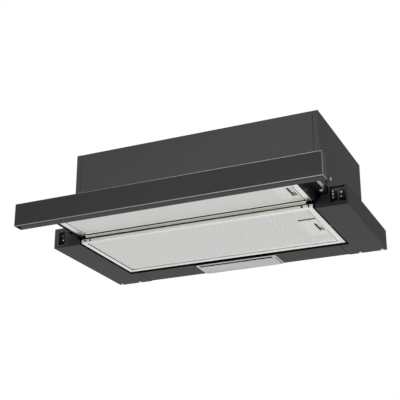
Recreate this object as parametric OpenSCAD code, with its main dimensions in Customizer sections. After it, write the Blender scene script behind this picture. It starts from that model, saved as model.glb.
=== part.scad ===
/* [Body] */
// Width of the low base and of the front bar
hood_w = 598; // [560:1:612]
// Depth of the low base, front plates to back wall
base_d = 276; // [270:1:300]
// Height of the low base
base_h = 40; // [40:1:50]
// Width of the casing that stands on the base
casing_w = 508; // [500:1:520]
// Height of the casing above the base
casing_h = 150; // [148:1:180]
// How far the casing's front stands ahead of the base
casing_lead = 3; // [1:0.5:3.5]
// Thickness of the folded sheet steel
sheet_t = 1; // [0.8:0.1:1.2]
// Width of the casing sides' returns on the front
return_w = 10.5; // [8:0.5:16]
// Depth of the folded edges inside the casing
hem_d = 12; // [8:1:16]

/* [Wings] */
// Width of each wing, from the outside to the filters
wing_w = 59; // [58:0.5:62]
// Height of the low sill beside the main filter
sill_h = 9; // [8:0.5:10]
// Width of the opening that the tray's arms pass
arm_gate_w = 24.5; // [24:0.5:25.5]
// Height of that opening's slanted edge at the sill
gate_low_h = 11; // [10:0.5:12]
// Height of that opening's slanted edge at the outside
gate_high_h = 25; // [23:0.5:25]
// Depth of the strip behind the main filter
strip_d = 63; // [54:1:66]
// How far each wing reaches inwards beside the strip
strip_land = 18; // [12:1:24]
// Distance between the cabinet screws across the hood
fixing_dx = 552; // [540:1:570]
// Distance between the cabinet screws, front to back
fixing_dy = 220; // [160:1:240]
// Diameter of the cabinet screw holes
fixing_hole_d = 5; // [4:0.1:6]

/* [Tray] */
// How far the bar's lip stands ahead of the base when the tray is out
tray_out = 113; // [112.5:0.5:120]
// How far the front bar's top stands above the top of the base
bar_rise = 3; // [0:0.1:5]
// How far the bar's lower edge lies above the base's underside
bar_lift = 2.2; // [0:0.1:4]
// Depth of the bar at its ends
bar_d = 21.7; // [16:0.1:22]
// Depth of the bar's lower lip
bar_lip_d = 27; // [24:0.5:27]
// Width of the rails' channels
rail_w = 9; // [8:0.5:9]
// Height of the outer rails
rail_h = 13.5; // [12.5:0.5:13.5]
// Running gap of the glides in the rails
glide_gap = 0.25; // [0.2:0.05:0.4]
// How far the tray's walls reach into the base when it is out
tray_overlap = 38; // [30:1:42]

/* [Filters] */
// Thickness of both grease filters
filter_t = 9; // [8:0.5:10]
// Gap between a filter and what stands beside it
filter_gap = 3.5; // [2:0.5:4]
// Gap between the main filter and the strip behind it
rear_gap = 13; // [8:1:16]
// Height of the front filter's underside above the base's underside
front_filter_lift = 13.8; // [12:0.1:15]
// Width of the filters' rims
rim_w = 12; // [8:0.5:14]
// Thickness of the filters' sheet
rim_t = 0.8; // [0.5:0.1:1]
// Thickness of one layer of the filters' mesh
mesh_t = 0.4; // [0.3:0.1:0.6]
// Width of the latch plates
latch_plate_w = 38; // [34:1:44]
// Depth of the latch plates
latch_plate_d = 84; // [70:1:84]
// Length of the window in a latch plate
latch_window_l = 40; // [30:1:44]
// Diameter of the latch bolts
bolt_d = 4; // [3:0.1:4.5]
// Travel of the latches
latch_travel = 3; // [2.5:0.5:4]

/* [Lamp] */
// Width of the lamp's frame
lamp_w = 175; // [150:1:180]
// How far the lamp sits to the left of the hood's middle
lamp_left = 2.5; // [0:0.5:3]
// How far the lamp's frame stands behind the front of the strips beside it
lamp_set_back = 5; // [1:0.5:6]
// Depth of the slot ahead of the lens
lamp_slot_d = 6; // [4:0.5:8]
// Height of the lamp's housing
lamp_h = 36; // [34:1:38]
// Diameter of the bulb
bulb_d = 26; // [20:1:28]

/* [Switches] */
// Width of the right switch module
right_module_w = 31.3; // [30:0.1:32]
// Width of the left switch module
left_module_w = 16; // [15:0.1:18]
// Depth of the modules' recess
recess_d = 7; // [6:0.5:9]
// Width of the rockers
rocker_w = 11; // [9:0.1:11.3]
// Tilt of a rocker to either side
rocker_tilt = 7; // [4:0.5:9]

/* [Blower] */
// Diameter of the wheel
wheel_d = 104; // [96:1:106]
// Length of the wheel
wheel_l = 84; // [70:1:86]
// Number of blades on the wheel
blades = 36; // [24:1:44]
// Width of the scroll housing
scroll_w = 104; // [98:1:110]
// Wall of the scroll housing
scroll_wall = 2; // [1.5:0.5:2.5]
// Diameter of the motor
motor_d = 68; // [60:1:72]
// Diameter of the motor's shaft
shaft_d = 8; // [6:1:10]
// Outside diameter of the duct collar
collar_d = 119; // [117:0.5:120]
// Height of the duct collar
collar_h = 30; // [26:1:40]
// Wall of the duct collar
collar_wall = 1.5; // [1.5:0.1:2]
// Diameter of the bore for the mains cable
gland_bore_d = 7.6; // [6:0.1:9]

/* [Hidden] */
$fn = 64;

// Heights are measured from the seat, which is the top of the base.
seat = 0;
base_low = seat - base_h;
base_front = -base_d / 2;
base_back = base_d / 2;
half_w = hood_w / 2;
wing_in = half_w - wing_w;
gate_out = wing_in + arm_gate_w;
sill_top = base_low + sill_h;
gate_low = base_low + gate_low_h;
gate_high = base_low + gate_high_h;
gate_foot_w = 3;
gate_mid_x = gate_out - 12;
gate_mid_z = gate_high - 1.5;
plate_gap = 0.8;
plate_low = base_low + sheet_t + plate_gap;
strip_front = base_back - strip_d;
strip_out = wing_in - strip_land;
half_casing = casing_w / 2;
casing_front = base_front - casing_lead;
casing_top = seat + casing_h;
seam = 0.3;
rear_foot_d = 16;
wing_top_x = wing_in + 3;
front_panel_x = half_casing - return_w - seam;
black_steel = [0.20, 0.20, 0.21];
black_plastic = [0.10, 0.10, 0.11];
zinc = [0.74, 0.77, 0.80];
filter_metal = [0.80, 0.80, 0.78];

// Screws
screw_d = 4;
screw_head_d = 7;
screw_head_t = 1.8;
screw_gap = 0.1;
side_screw_l = 8;
base_screw_l = 6;
base_screw_y = base_back - 8;
base_screw_out = half_w - 8;
base_screw_in = wing_in + 7;
side_screw_y = -84;
side_screw_z = 34;
side_slot_y = side_screw_y - 24.5;
side_slot_z = side_screw_z - 14;
side_slot_w = 5;
side_slot_h = 8;

// Tray
bar_low = base_low + bar_lift;
bar_top = seat + bar_rise;
bar_t = 1.2;
bar_back = base_front - tray_out;
bar_front = bar_back - bar_lip_d;
cap_back = bar_front + bar_d;
cover_top = seat - 3;
cover_low = cover_top - sheet_t;
wall_low = base_low + front_filter_lift;
rail_out = gate_out - 0.5;
rail_in = rail_out - rail_w;
rail_top = seat - sheet_t;
rail_low = rail_top - rail_h;
rail_lip_x = rail_in + 3;
arm_edge = rail_in - 2;
inner_low = rail_low + 2;
inner_web = rail_out - 2.5;
guide_in = rail_in - 3.5;
guide_top = rail_top - 6.6;
rail_tail = 110;
rail_lead = 8;
rail_end_gap = 13;
inner_back = base_front + tray_overlap + rail_tail;
outer_front = base_front - rail_lead;
outer_back = base_back - rail_end_gap;
tray_wall_back = base_front + tray_overlap;
glide_l = 14;

// Filters
filter_half = wing_in - filter_gap;
main_low = base_low;
main_front = casing_front;
front_low = wall_low;
main_filter_d = strip_front - rear_gap - main_front;
front_back = main_front - 1;
front_front = bar_back + 1;
front_filter_d = front_back - front_front;
front_hem_in = 12;
hem_left_h = 2.4;
hem_right_h = 4.2;
front_hole_d = 2.4;
front_hole_x = filter_half - 20.5;
front_hole_z = main_low + 5;
bolt_slot_x = filter_half - 8.5;
bolt_slot_w = 2;
bolt_slot_h = 4;
hook_slot_x = -filter_half + 6.5;
hook_slot_w = 7;
hook_slot_h = 2;
latch_plate_out = filter_half - rim_w;
latch_z = 2 * rim_t + bolt_d / 2 + 1;
main_plate_in = 56;
main_plate_y = main_front + main_plate_in;
front_plate_y = front_front + rim_w;
front_plate_d = min(latch_plate_d, front_filter_d - 2 * rim_w);
latch_window_y = 22;
latch_window_w = 10;
latch_window_in = 2;
latch_bolt_y = latch_window_y + latch_window_l - 9;
latch_gap = 0.3;
tab_l = 6;
tab_w = 16;
tab_lift = 0.6;
tab_places = [0.25, 0.75];
tab_gap = 1;
strike_gap = 0.5;
bolt_gap = 0.05;
bolt_reach = latch_travel - 0.8;
bolt_guide_t = 1.5;
bolt_guide_half = 5;
bolt_tail = 10;
carrier_lap = 2;
carrier_in = 3;

// Lamp
lamp_half = lamp_w / 2;
lamp_gap = 1;
lamp_front = strip_front + lamp_set_back;
lamp_back = base_back - sheet_t;
strip_back = base_back - 5;
rear_foot_x = lamp_half + 5;
bezel_t = 1.2;
bezel_front_w = 4;
bezel_back_w = 1;
bezel_low = base_low - 0.4;
lens_half = lamp_half - 5;
lens_front = lamp_front + bezel_front_w + lamp_slot_d;
lens_back = lamp_back - 1.5;
lens_low = bezel_low - 1.2;
lamp_wall = 0.8;
lens_t = 1.5;
lens_rim_h = 2.4;
holder_l = 24;
bulb_cap_r = 7;
bulb_cap_l = 22;
bulb_l = 80;
bulb_in = 6;
bulb_rise = 18.5;
lamp_mid_y = (lens_front + lens_back) / 2;
lamp_mid_z = base_low + bulb_rise;

// Switches
module_side = 1.5;
module_low = base_low + 4;
left_module_in = 9;
left_module_h = 29.5;
right_module_x0 = half_w - module_side - right_module_w;
left_module_x0 = -half_w + left_module_in;
right_module_top = seat - 2;
left_module_top = module_low + left_module_h;
module_wall = 1.2;
module_lead = 0.4;
recess_back = base_front + recess_d;
rocker_pivot_y = recess_back + 2.2;
rocker_pin_d = 2.4;
rocker_pin_gap = 0.05;
rocker_side_gap = 0.4;
ear_d = 10;
right_rocker_rise = 17;
left_rocker_rise = 15;
right_rocker_z = module_low + right_rocker_rise;
left_rocker_z = module_low + left_rocker_rise;
speed_rocker_h = 21;
light_rocker_h = 23;
left_rocker_h = 23;
speed_rocker_in = 25.75;
light_rocker_in = 9.6;
speed_rocker_x = half_w - speed_rocker_in;
light_rocker_x = half_w - light_rocker_in;
left_rocker_x = left_module_x0 + left_module_w / 2;

// Blower
collar_y = 20;
collar_r = collar_d / 2;
flange_t = 1.5;
wheel_r = wheel_d / 2;
tongue_angle = 70;
scroll_start_r = wheel_r + 5;
scroll_rise = 36;
scroll_end_r = wheel_r + scroll_rise;
outlet_y0 = scroll_start_r * cos(tongue_angle);
outlet_w = scroll_end_r - outlet_y0;
wheel_y = collar_y - outlet_y0 - outlet_w / 2;
wheel_z = casing_top - sheet_t - scroll_start_r - scroll_wall - 4;
scroll_half = scroll_w / 2;
inlet_r = wheel_r - 7;
wheel_half = wheel_l / 2;
blade_depth = 8;
blade_t = 1;
blade_lean = 25;
disc_half = 1;
ring_t = 3;
disc_x = -6;
hub_r = 10;
hub_x0 = disc_x - 8;
hub_x1 = disc_x + 6;
motor_r = motor_d / 2;
motor_x0 = 6;
motor_x1 = scroll_half + 8;
boss_l = 3;
shaft_x0 = hub_x0 - 2;
shaft_x1 = motor_x1 - 4;
bearing_gap = 0.05;
press_gap = 0.02;
spider_t = 3;
spider_arm_w = 10;
spider_ring = 4;
spider_reach = inlet_r + 8;
flap_t = 1.2;
flap_z = casing_top + flange_t + 6;
flap_pin_d = 3;
flap_pin_x = 4;
flap_pin_gap = 0.05;
flap_rim_gap = 1;
flange_w = 9;
bar_half = 1.5;
bar_high = flap_z - 3;

// Electrical pieces
box_wall = 2;
box_depth = 30;
box_half_d = 30;
box_below = 22;
box_above = 24;
box_y0 = side_screw_y - box_half_d;
box_y1 = side_screw_y + box_half_d;
box_z0 = side_screw_z - box_below;
box_z1 = side_screw_z + box_above;
capacitor_r = 17;
capacitor_l = 52;
gland_x = -200;
gland_y = -60;
gland_r = 8;
gland_nut_t = 4;
gland_head_t = 5;
gland_grip = 3;
gland_l = 8;
loom_r = 3;
loom_bend = 8;
loom_end = 12;
loom_in = 22;
loom_y = casing_front + loom_in;

// A block between two opposite corners
module block(low, high) {
    translate(low) cube(high - low);
}

// A rod along X
module rod_x(x0, x1, y, z, r) {
    translate([x0, y, z]) rotate([0, 90, 0]) cylinder(h = x1 - x0, r = r);
}

// A rod along Y
module rod_y(y0, y1, x, z, r) {
    translate([x, y0, z]) rotate([-90, 0, 0]) cylinder(h = y1 - y0, r = r);
}

// A rod along Z
module rod_z(z0, z1, x, y, r) {
    translate([x, y, z0]) cylinder(h = z1 - z0, r = r);
}

// An outline in Y and Z, drawn out along X
module along_x(x0, x1, points) {
    translate([x0, 0, 0]) rotate([90, 0, 90]) linear_extrude(x1 - x0) polygon(points);
}

// An outline in X and Z, drawn out along Y
module along_y(y0, y1, points) {
    translate([0, y1, 0]) rotate([90, 0, 0]) linear_extrude(y1 - y0) polygon(points);
}

// The left copy of a shape that is drawn on the right
module left_copy() {
    mirror([1, 0, 0]) children();
}

// Front of the casing: a flat panel with folded edges
module casing_front_panel() {
    color(black_steel) {
        block([-front_panel_x, casing_front, seat], [front_panel_x, casing_front + sheet_t, casing_top]);
        for (z = [seat, casing_top - sheet_t])
            block([-front_panel_x, casing_front, z], [front_panel_x, casing_front + hem_d, z + sheet_t]);
        for (x = [-front_panel_x, front_panel_x - sheet_t])
            block([x, casing_front, seat], [x + sheet_t, casing_front + hem_d, casing_top]);
    }
}

// Side of the casing with its return on the front, its foot on the wing and its hook slot
module casing_side() {
    difference() {
        union() {
            block([half_casing - sheet_t, casing_front, seat], [half_casing, base_back, casing_top]);
            block(
                [half_casing - return_w, casing_front, seat],
                [half_casing, casing_front + sheet_t, casing_top]
            );
            block(
                [half_casing - return_w, casing_front, seat],
                [half_casing - return_w + sheet_t, casing_front + hem_d, casing_top]
            );
            block(
                [half_casing - return_w, casing_front, seat],
                [half_casing, base_back - sheet_t, seat + sheet_t]
            );
            block(
                [half_casing - return_w, casing_front, casing_top - sheet_t],
                [half_casing, casing_front + hem_d, casing_top]
            );
        }
        rod_x(
            half_casing - 2 * sheet_t, half_casing + sheet_t, side_screw_y, side_screw_z,
            screw_d / 2 + screw_gap
        );
        block(
            [half_casing - 2 * sheet_t, side_slot_y - side_slot_w / 2, side_slot_z - side_slot_h / 2],
            [half_casing + sheet_t, side_slot_y + side_slot_w / 2, side_slot_z + side_slot_h / 2]
        );
    }
}

module casing_left_side() {
    color(black_steel) left_copy() casing_side();
}

module casing_right_side() {
    color(black_steel) casing_side();
}

// Top of the casing with the hole under the duct collar
module casing_top_panel() {
    x = half_casing - sheet_t;
    y0 = casing_front + hem_d;
    y1 = base_back - sheet_t;
    z0 = casing_top - sheet_t;
    color(black_steel) difference() {
        union() {
            block([-x, y0, z0], [x, y1, casing_top]);
            for (s = [0, 1]) mirror([s, 0, 0])
                block([x - sheet_t, y0, z0 - hem_d], [x, y1, casing_top]);
        }
        rod_z(z0 - 1, casing_top + 1, 0, collar_y, collar_r - collar_wall);
        rod_z(z0 - 1, casing_top + 1, gland_x, gland_y, gland_r + screw_gap);
    }
}

module casing_rear_panel() {
    x = half_casing - sheet_t;
    color(black_steel) {
        block([-x, base_back - sheet_t, seat], [x, base_back, casing_top]);
        block([-wing_in, base_back - hem_d, seat], [wing_in, base_back, seat + sheet_t]);
    }
}

// The screws that show on the casing's sides and hold the pieces behind them
module side_screws() {
    color(zinc) for (s = [0, 1]) mirror([s, 0, 0]) {
        rod_x(half_casing - side_screw_l, half_casing, side_screw_y, side_screw_z, screw_d / 2);
        rod_x(half_casing, half_casing + screw_head_t, side_screw_y, side_screw_z, screw_head_d / 2);
    }
}

// Wing: floor, outer wall, top with the fixing holes, and the low sill
module wing() {
    low = base_low + sheet_t;
    difference() {
        union() {
            block([wing_in, base_front, base_low], [half_w, base_back, low]);
            block([strip_out, strip_front, base_low], [half_w, base_back, low]);
            block([half_w - sheet_t, base_front + sheet_t, base_low], [half_w, base_back, seat]);
            block([wing_top_x, base_front + sheet_t, seat - sheet_t], [half_w, base_back, seat]);
            block([wing_in, base_front + sheet_t, base_low], [wing_in + sheet_t, strip_front, sill_top]);
        }
        for (y = [-fixing_dy / 2, fixing_dy / 2])
            rod_z(seat - 2 * sheet_t, seat + sheet_t, fixing_dx / 2, y, fixing_hole_d / 2);
        for (x = [base_screw_in, base_screw_out])
            rod_z(base_low - 1, low + 1, x, base_screw_y, screw_d / 2 + screw_gap);
    }
}

// The tabs' slots in the left sill and the bolt's slot in the right sill
module left_wing() {
    color(black_steel) difference() {
        left_copy() wing();
        for (k = tab_places) {
            y = main_front + main_filter_d * k;
            block(
                [-wing_in - 2 * sheet_t, y - tab_w / 2 - tab_gap, main_low + sheet_t],
                [-wing_in + 1, y + tab_w / 2 + tab_gap, sill_top - 0.5]
            );
        }
    }
}

module right_wing() {
    color(black_steel) difference() {
        wing();
        rod_x(
            wing_in - 1, wing_in + 2 * sheet_t,
            main_plate_y + latch_bolt_y, main_low + latch_z, bolt_d / 2 + strike_gap
        );
    }
}

// Plate on a wing's front, a little above the floor and cut away where the tray's arm runs
module front_plate() {
    along_y(base_front, base_front + sheet_t, [
        [wing_in, plate_low], [half_w, plate_low], [half_w, seat], [gate_out, seat],
        [gate_out, gate_high], [gate_mid_x, gate_mid_z], [wing_in + gate_foot_w, gate_low],
        [wing_in, gate_low]
    ]);
}

module left_front_plate() {
    color(black_steel) difference() {
        left_copy() front_plate();
        block(
            [left_module_x0, base_front - 1, module_low],
            [left_module_x0 + left_module_w, base_front + 2 * sheet_t, left_module_top]
        );
    }
}

module right_front_plate() {
    color(black_steel) difference() {
        front_plate();
        block(
            [right_module_x0, base_front - 1, module_low],
            [right_module_x0 + right_module_w, base_front + 2 * sheet_t, right_module_top]
        );
    }
}

// Strip behind the main filter, from beside the lamp to a seam at the wing
module rear_strip(x0) {
    block([x0, strip_front, base_low], [strip_out - seam, strip_back, base_low + sheet_t]);
    block([x0, strip_front - sheet_t, base_low], [wing_in, strip_front, seat - hem_d]);
}

module left_rear_strip() {
    color(black_steel) left_copy() rear_strip(lamp_half + lamp_gap + lamp_left);
}

module right_rear_strip() {
    color(black_steel) rear_strip(lamp_half + lamp_gap - lamp_left);
}

// Back wall of the base with the feet that rest on the wings and the strips
module base_rear_wall() {
    x = half_w - sheet_t;
    z0 = base_low + sheet_t;
    color(black_steel) difference() {
        union() {
            block([-x, base_back - sheet_t, z0], [x, base_back, seat - sheet_t]);
            for (s = [0, 1]) mirror([s, 0, 0])
                block([rear_foot_x, base_back - rear_foot_d, z0], [x, base_back, z0 + sheet_t]);
        }
        for (x = [-base_screw_out, -base_screw_in, base_screw_in, base_screw_out])
            rod_z(z0 - 1, z0 + 2 * sheet_t, x, base_screw_y, screw_d / 2 + screw_gap);
    }
}

module base_screws() {
    color(zinc) for (x = [-base_screw_out, -base_screw_in, base_screw_in, base_screw_out]) {
        rod_z(base_low, base_low + base_screw_l, x, base_screw_y, screw_d / 2);
        rod_z(base_low - screw_head_t, base_low, x, base_screw_y, screw_head_d / 2);
    }
}

// Outer rail: a channel under the wing's top that opens towards the tray
module outer_rail() {
    block([rail_out - sheet_t, outer_front, rail_low], [rail_out, outer_back, rail_top]);
    for (z = [rail_low, rail_top - sheet_t])
        block([rail_lip_x, outer_front, z], [rail_out, outer_back, z + sheet_t]);
}

module left_outer_rail() {
    color(zinc) left_copy() outer_rail();
}

module right_outer_rail() {
    color(zinc) outer_rail();
}

// Nylon guides at the front of the outer rails: the webs of the inner rails run in their slots
module front_glides() {
    floor_low = rail_low + sheet_t;
    y0 = outer_front;
    y1 = outer_front + glide_l;
    color("white") for (s = [0, 1]) mirror([s, 0, 0]) {
        block([guide_in, y0, floor_low], [rail_out - sheet_t, y1, inner_low - glide_gap]);
        block([guide_in, y0, floor_low], [inner_web - sheet_t - glide_gap, y1, guide_top]);
        block([inner_web + glide_gap, y0, floor_low], [rail_out - sheet_t, y1, guide_top]);
    }
}

// Frame round the lamp's opening
module lamp_bezel() {
    top = bezel_low + bezel_t;
    color([0.75, 0.75, 0.76]) translate([-lamp_left, 0, 0]) {
        block([-lamp_half, lamp_front, bezel_low], [lamp_half, lamp_front + bezel_front_w, top]);
        for (s = [0, 1]) mirror([s, 0, 0])
            block([lens_half + 1, lamp_front, bezel_low], [lamp_half, lamp_back, top]);
        block([-lamp_half, lamp_back - bezel_back_w, bezel_low], [lamp_half, lamp_back, top]);
    }
}

// Bright box over the lamp, open below
module lamp_housing() {
    low = bezel_low + bezel_t;
    high = low + lamp_h;
    x = lamp_half - 0.5;
    color(zinc) translate([-lamp_left, 0, 0]) difference() {
        block([-x, lamp_front, low], [x, lamp_back, high]);
        block(
            [-x + lamp_wall, lamp_front + lamp_wall, low - 1],
            [x - lamp_wall, lamp_back - lamp_wall, high - lamp_wall]
        );
    }
}

module lamp_holder() {
    x0 = -lamp_half + 0.5 + lamp_wall;
    color("white") translate([-lamp_left, 0, 0]) difference() {
        rod_x(x0, x0 + holder_l, lamp_mid_y, lamp_mid_z, bulb_d / 2 + 1);
        rod_x(x0 + bulb_in, x0 + holder_l + 1, lamp_mid_y, lamp_mid_z, bulb_cap_r + 0.1);
    }
}

// Bulb with its screwed cap in the holder
module lamp_bulb() {
    x0 = -lamp_half + 0.5 + lamp_wall + bulb_in;
    r = bulb_d / 2;
    color([0.95, 0.95, 0.9]) translate([-lamp_left, 0, 0]) {
        rod_x(x0, x0 + bulb_cap_l, lamp_mid_y, lamp_mid_z, bulb_cap_r);
        rod_x(x0 + bulb_cap_l, x0 + bulb_l, lamp_mid_y, lamp_mid_z, r);
        translate([x0 + bulb_l, lamp_mid_y, lamp_mid_z]) sphere(r);
    }
}

// Lens that swings down on its rear edge
module lamp_lens() {
    color([0.85, 0.85, 0.86, 0.8]) translate([-lamp_left, 0, 0]) {
        block([-lens_half, lens_front, lens_low], [lens_half, lens_back, lens_low + lens_t]);
        for (s = [0, 1]) mirror([s, 0, 0])
            block([lens_half - lens_t, lens_front, lens_low], [lens_half, lens_back, lens_low + lens_rim_h]);
        block([-lens_half, lens_front, lens_low], [lens_half, lens_front + lens_t, lens_low + lens_rim_h]);
    }
}

// Recessed moulding of a switch module, with a window and two ears for each rocker
module switch_housing(x0, x1, top, rockers) {
    y0 = base_front - module_lead;
    w = module_wall;
    difference() {
        union() {
            block([x0, y0, module_low], [x1, recess_back + w, top]);
            for (r = rockers)
                block(
                    [r[0] - rocker_w / 2 - rocker_side_gap - w, recess_back, r[1] - r[2] / 2],
                    [r[0] + rocker_w / 2 + rocker_side_gap + w, recess_back + ear_d, r[1] + r[2] / 2]
                );
        }
        along_x(x0 + w, x1 - w, [
            [y0 - 1, module_low + w], [recess_back, module_low + w],
            [recess_back, top - 3 * w], [y0 - 1, top - w]
        ]);
        for (r = rockers) {
            block(
                [r[0] - rocker_w / 2 - rocker_side_gap, recess_back - 1, r[1] - r[2] / 2 + w],
                [r[0] + rocker_w / 2 + rocker_side_gap, recess_back + ear_d - w, r[1] + r[2] / 2 - w]
            );
            rod_x(
                r[0] - rocker_w, r[0] + rocker_w, rocker_pivot_y, r[1],
                rocker_pin_d / 2 + rocker_pin_gap
            );
        }
    }
}

module left_switch_housing() {
    color(black_plastic) switch_housing(
        left_module_x0, left_module_x0 + left_module_w, left_module_top,
        [[left_rocker_x, left_rocker_z, left_rocker_h]]
    );
}

module right_switch_housing() {
    color(black_plastic) switch_housing(
        right_module_x0, right_module_x0 + right_module_w, right_module_top,
        [
            [speed_rocker_x, right_rocker_z, speed_rocker_h],
            [light_rocker_x, right_rocker_z, light_rocker_h]
        ]
    );
}

// Rocker key on its pin: a shallow V of two faces over a keel, tilted about the pin
module rocker(x, z, h, tilt) {
    half = h / 2 - module_wall - 1;
    tip = -5.8;
    middle = -4.4;
    back = -2.6;
    keel = 2;
    translate([x, rocker_pivot_y, z]) rotate([tilt, 0, 0]) {
        along_x(-rocker_w / 2, rocker_w / 2, [
            [tip, -half], [middle, 0], [tip, half], [back, half],
            [keel, keel], [keel, -keel], [back, -half]
        ]);
        rod_x(
            -rocker_w / 2 - rocker_side_gap - module_wall, rocker_w / 2 + rocker_side_gap + module_wall,
            0, 0, rocker_pin_d / 2
        );
    }
}

module left_rocker() {
    color(black_plastic) rocker(left_rocker_x, left_rocker_z, left_rocker_h, -rocker_tilt);
}

module speed_rocker() {
    color(black_plastic) rocker(speed_rocker_x, right_rocker_z, speed_rocker_h, 0);
}

module light_rocker() {
    color(black_plastic) rocker(light_rocker_x, right_rocker_z, light_rocker_h, -rocker_tilt);
}

// Outline of the scroll's spiral, grown outwards by a wall
function spiral_r(a) =
    scroll_start_r + (scroll_end_r - scroll_start_r) * (a + 360 - tongue_angle) / (360 - tongue_angle);

function spiral(grow) = [
    for (a = [tongue_angle - 360 : 10 : 0])
        [wheel_y + (spiral_r(a) + grow) * cos(a), wheel_z + (spiral_r(a) + grow) * sin(a)]
];

// The spiral and its upright outlet, drawn out along X
module scroll_shape(x0, x1, grow, top) {
    along_x(x0, x1, spiral(grow));
    block(
        [x0, wheel_y + outlet_y0 - grow, wheel_z],
        [x1, wheel_y + scroll_end_r + grow, top]
    );
}

// Half of the scroll housing with its round inlet
module scroll_half_shell() {
    top = casing_top - sheet_t;
    difference() {
        scroll_shape(0, scroll_half, scroll_wall, top);
        scroll_shape(-1, scroll_half - scroll_wall, 0, top + 1);
        rod_x(scroll_half - 2 * scroll_wall, scroll_half + 1, wheel_y, wheel_z, inlet_r);
    }
}

module scroll_left_half() {
    color([0.3, 0.3, 0.32]) left_copy() scroll_half_shell();
}

module scroll_right_half() {
    color([0.3, 0.3, 0.32]) scroll_half_shell();
}

// Wheel with two rings, a disc with a hub, and its blades
module blower_wheel() {
    color([0.25, 0.25, 0.27]) difference() {
        union() {
            for (x = [-wheel_half, wheel_half - ring_t]) difference() {
                rod_x(x, x + ring_t, wheel_y, wheel_z, wheel_r);
                rod_x(x - 1, x + ring_t + 1, wheel_y, wheel_z, wheel_r - blade_depth);
            }
            rod_x(disc_x - disc_half, disc_x + disc_half, wheel_y, wheel_z, wheel_r - 0.5);
            rod_x(hub_x0, hub_x1, wheel_y, wheel_z, hub_r);
            for (k = [0 : blades - 1])
                translate([-wheel_half + 1, wheel_y, wheel_z]) rotate([k * 360 / blades, 0, 0])
                    translate([0, -blade_t / 2, wheel_r - blade_depth + 0.5]) rotate([blade_lean, 0, 0])
                        cube([wheel_l - 2, blade_t, blade_depth - 1]);
        }
        rod_x(hub_x0 - 1, hub_x1 + 1, wheel_y, wheel_z, shaft_d / 2 + press_gap);
    }
}

module motor_shaft() {
    color(zinc) rod_x(shaft_x0, shaft_x1, wheel_y, wheel_z, shaft_d / 2);
}

// Motor in the wheel's right side
module motor() {
    color([0.6, 0.62, 0.64]) difference() {
        union() {
            rod_x(motor_x0, motor_x1, wheel_y, wheel_z, motor_r);
            rod_x(motor_x0 - boss_l, motor_x0, wheel_y, wheel_z, hub_r);
        }
        rod_x(motor_x0 - boss_l - 1, shaft_x1 + 1, wheel_y, wheel_z, shaft_d / 2 + bearing_gap);
    }
}

// Ring round the motor with three arms to the scroll's inlet
module motor_spider() {
    color(zinc) difference() {
        union() {
            rod_x(scroll_half, scroll_half + spider_t, wheel_y, wheel_z, motor_r + spider_ring);
            for (a = [0, 120, 240])
                translate([scroll_half, wheel_y, wheel_z]) rotate([a, 0, 0])
                    translate([0, -spider_arm_w / 2, 0]) cube([spider_t, spider_arm_w, spider_reach]);
        }
        rod_x(scroll_half - 1, scroll_half + spider_t + 1, wheel_y, wheel_z, motor_r + press_gap);
    }
}

// Collar for the duct, with the bar that the flaps close on
module duct_collar() {
    top = casing_top + flange_t + collar_h;
    bore = collar_r - collar_wall;
    color(black_plastic) difference() {
        union() {
            rod_z(casing_top, casing_top + flange_t, 0, collar_y, collar_r + flange_w);
            rod_z(casing_top, top, 0, collar_y, collar_r);
        }
        difference() {
            rod_z(casing_top - 1, top + 1, 0, collar_y, bore);
            block([-bar_half, collar_y - collar_r, casing_top], [bar_half, collar_y + collar_r, bar_high]);
        }
        for (x = [-flap_pin_x, flap_pin_x])
            rod_y(
                collar_y - collar_r - 1, collar_y + collar_r + 1, x, flap_z,
                flap_pin_d / 2 + flap_pin_gap
            );
    }
}

// Half-round flap on its pin; it lifts in the stream of air
module flap() {
    reach = collar_r - collar_wall - flap_rim_gap;
    pin_half = sqrt(pow(collar_r - 0.6, 2) - pow(flap_pin_x + flap_pin_d / 2 + 0.5, 2));
    color([0.2, 0.2, 0.22]) {
        intersection() {
            rod_z(flap_z - flap_t / 2, flap_z + flap_t / 2, 0, collar_y, reach);
            block(
                [flap_pin_x, collar_y - collar_r, flap_z - flap_t],
                [collar_r, collar_y + collar_r, flap_z + flap_t]
            );
        }
        rod_y(
            collar_y - pin_half, collar_y + pin_half, flap_pin_x, flap_z,
            flap_pin_d / 2
        );
    }
}

module left_flap() {
    left_copy() flap();
}

module right_flap() {
    flap();
}

module capacitor() {
    x1 = half_casing - sheet_t;
    color("white") difference() {
        rod_x(x1 - capacitor_l, x1, side_screw_y, side_screw_z, capacitor_r);
        rod_x(x1 - side_screw_l - 1, x1 + 1, side_screw_y, side_screw_z, screw_d / 2 + screw_gap);
    }
}

// Box for the mains terminals, held on the left side of the casing
module terminal_box() {
    x0 = -half_casing + sheet_t;
    color([0.85, 0.85, 0.83]) difference() {
        block([x0, box_y0, box_z0], [x0 + box_depth, box_y1, box_z1]);
        block(
            [x0 + box_wall + side_screw_l, box_y0 + box_wall, box_z0 + box_wall],
            [x0 + box_depth + 1, box_y1 - box_wall, box_z1 - box_wall]
        );
        rod_x(x0 - 1, x0 + side_screw_l + 1, side_screw_y, side_screw_z, screw_d / 2 + screw_gap);
    }
}

module terminal_lid() {
    x0 = -half_casing + sheet_t + box_depth;
    color([0.8, 0.8, 0.78]) block([x0, box_y0, box_z0], [x0 + box_wall, box_y1, box_z1]);
}

// Gland for the mains cable in the casing's top
module cable_gland() {
    nut_low = casing_top - sheet_t - gland_nut_t;
    color(black_plastic) difference() {
        union() {
            rod_z(casing_top, casing_top + gland_head_t, gland_x, gland_y, gland_r + gland_grip);
            rod_z(casing_top - gland_l, casing_top + gland_head_t, gland_x, gland_y, gland_r);
            rod_z(nut_low, nut_low + gland_nut_t, gland_x, gland_y, gland_r + gland_grip);
        }
        rod_z(
            casing_top - gland_l - 1, casing_top + gland_head_t + 1, gland_x, gland_y,
            gland_bore_d / 2
        );
    }
}

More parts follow.
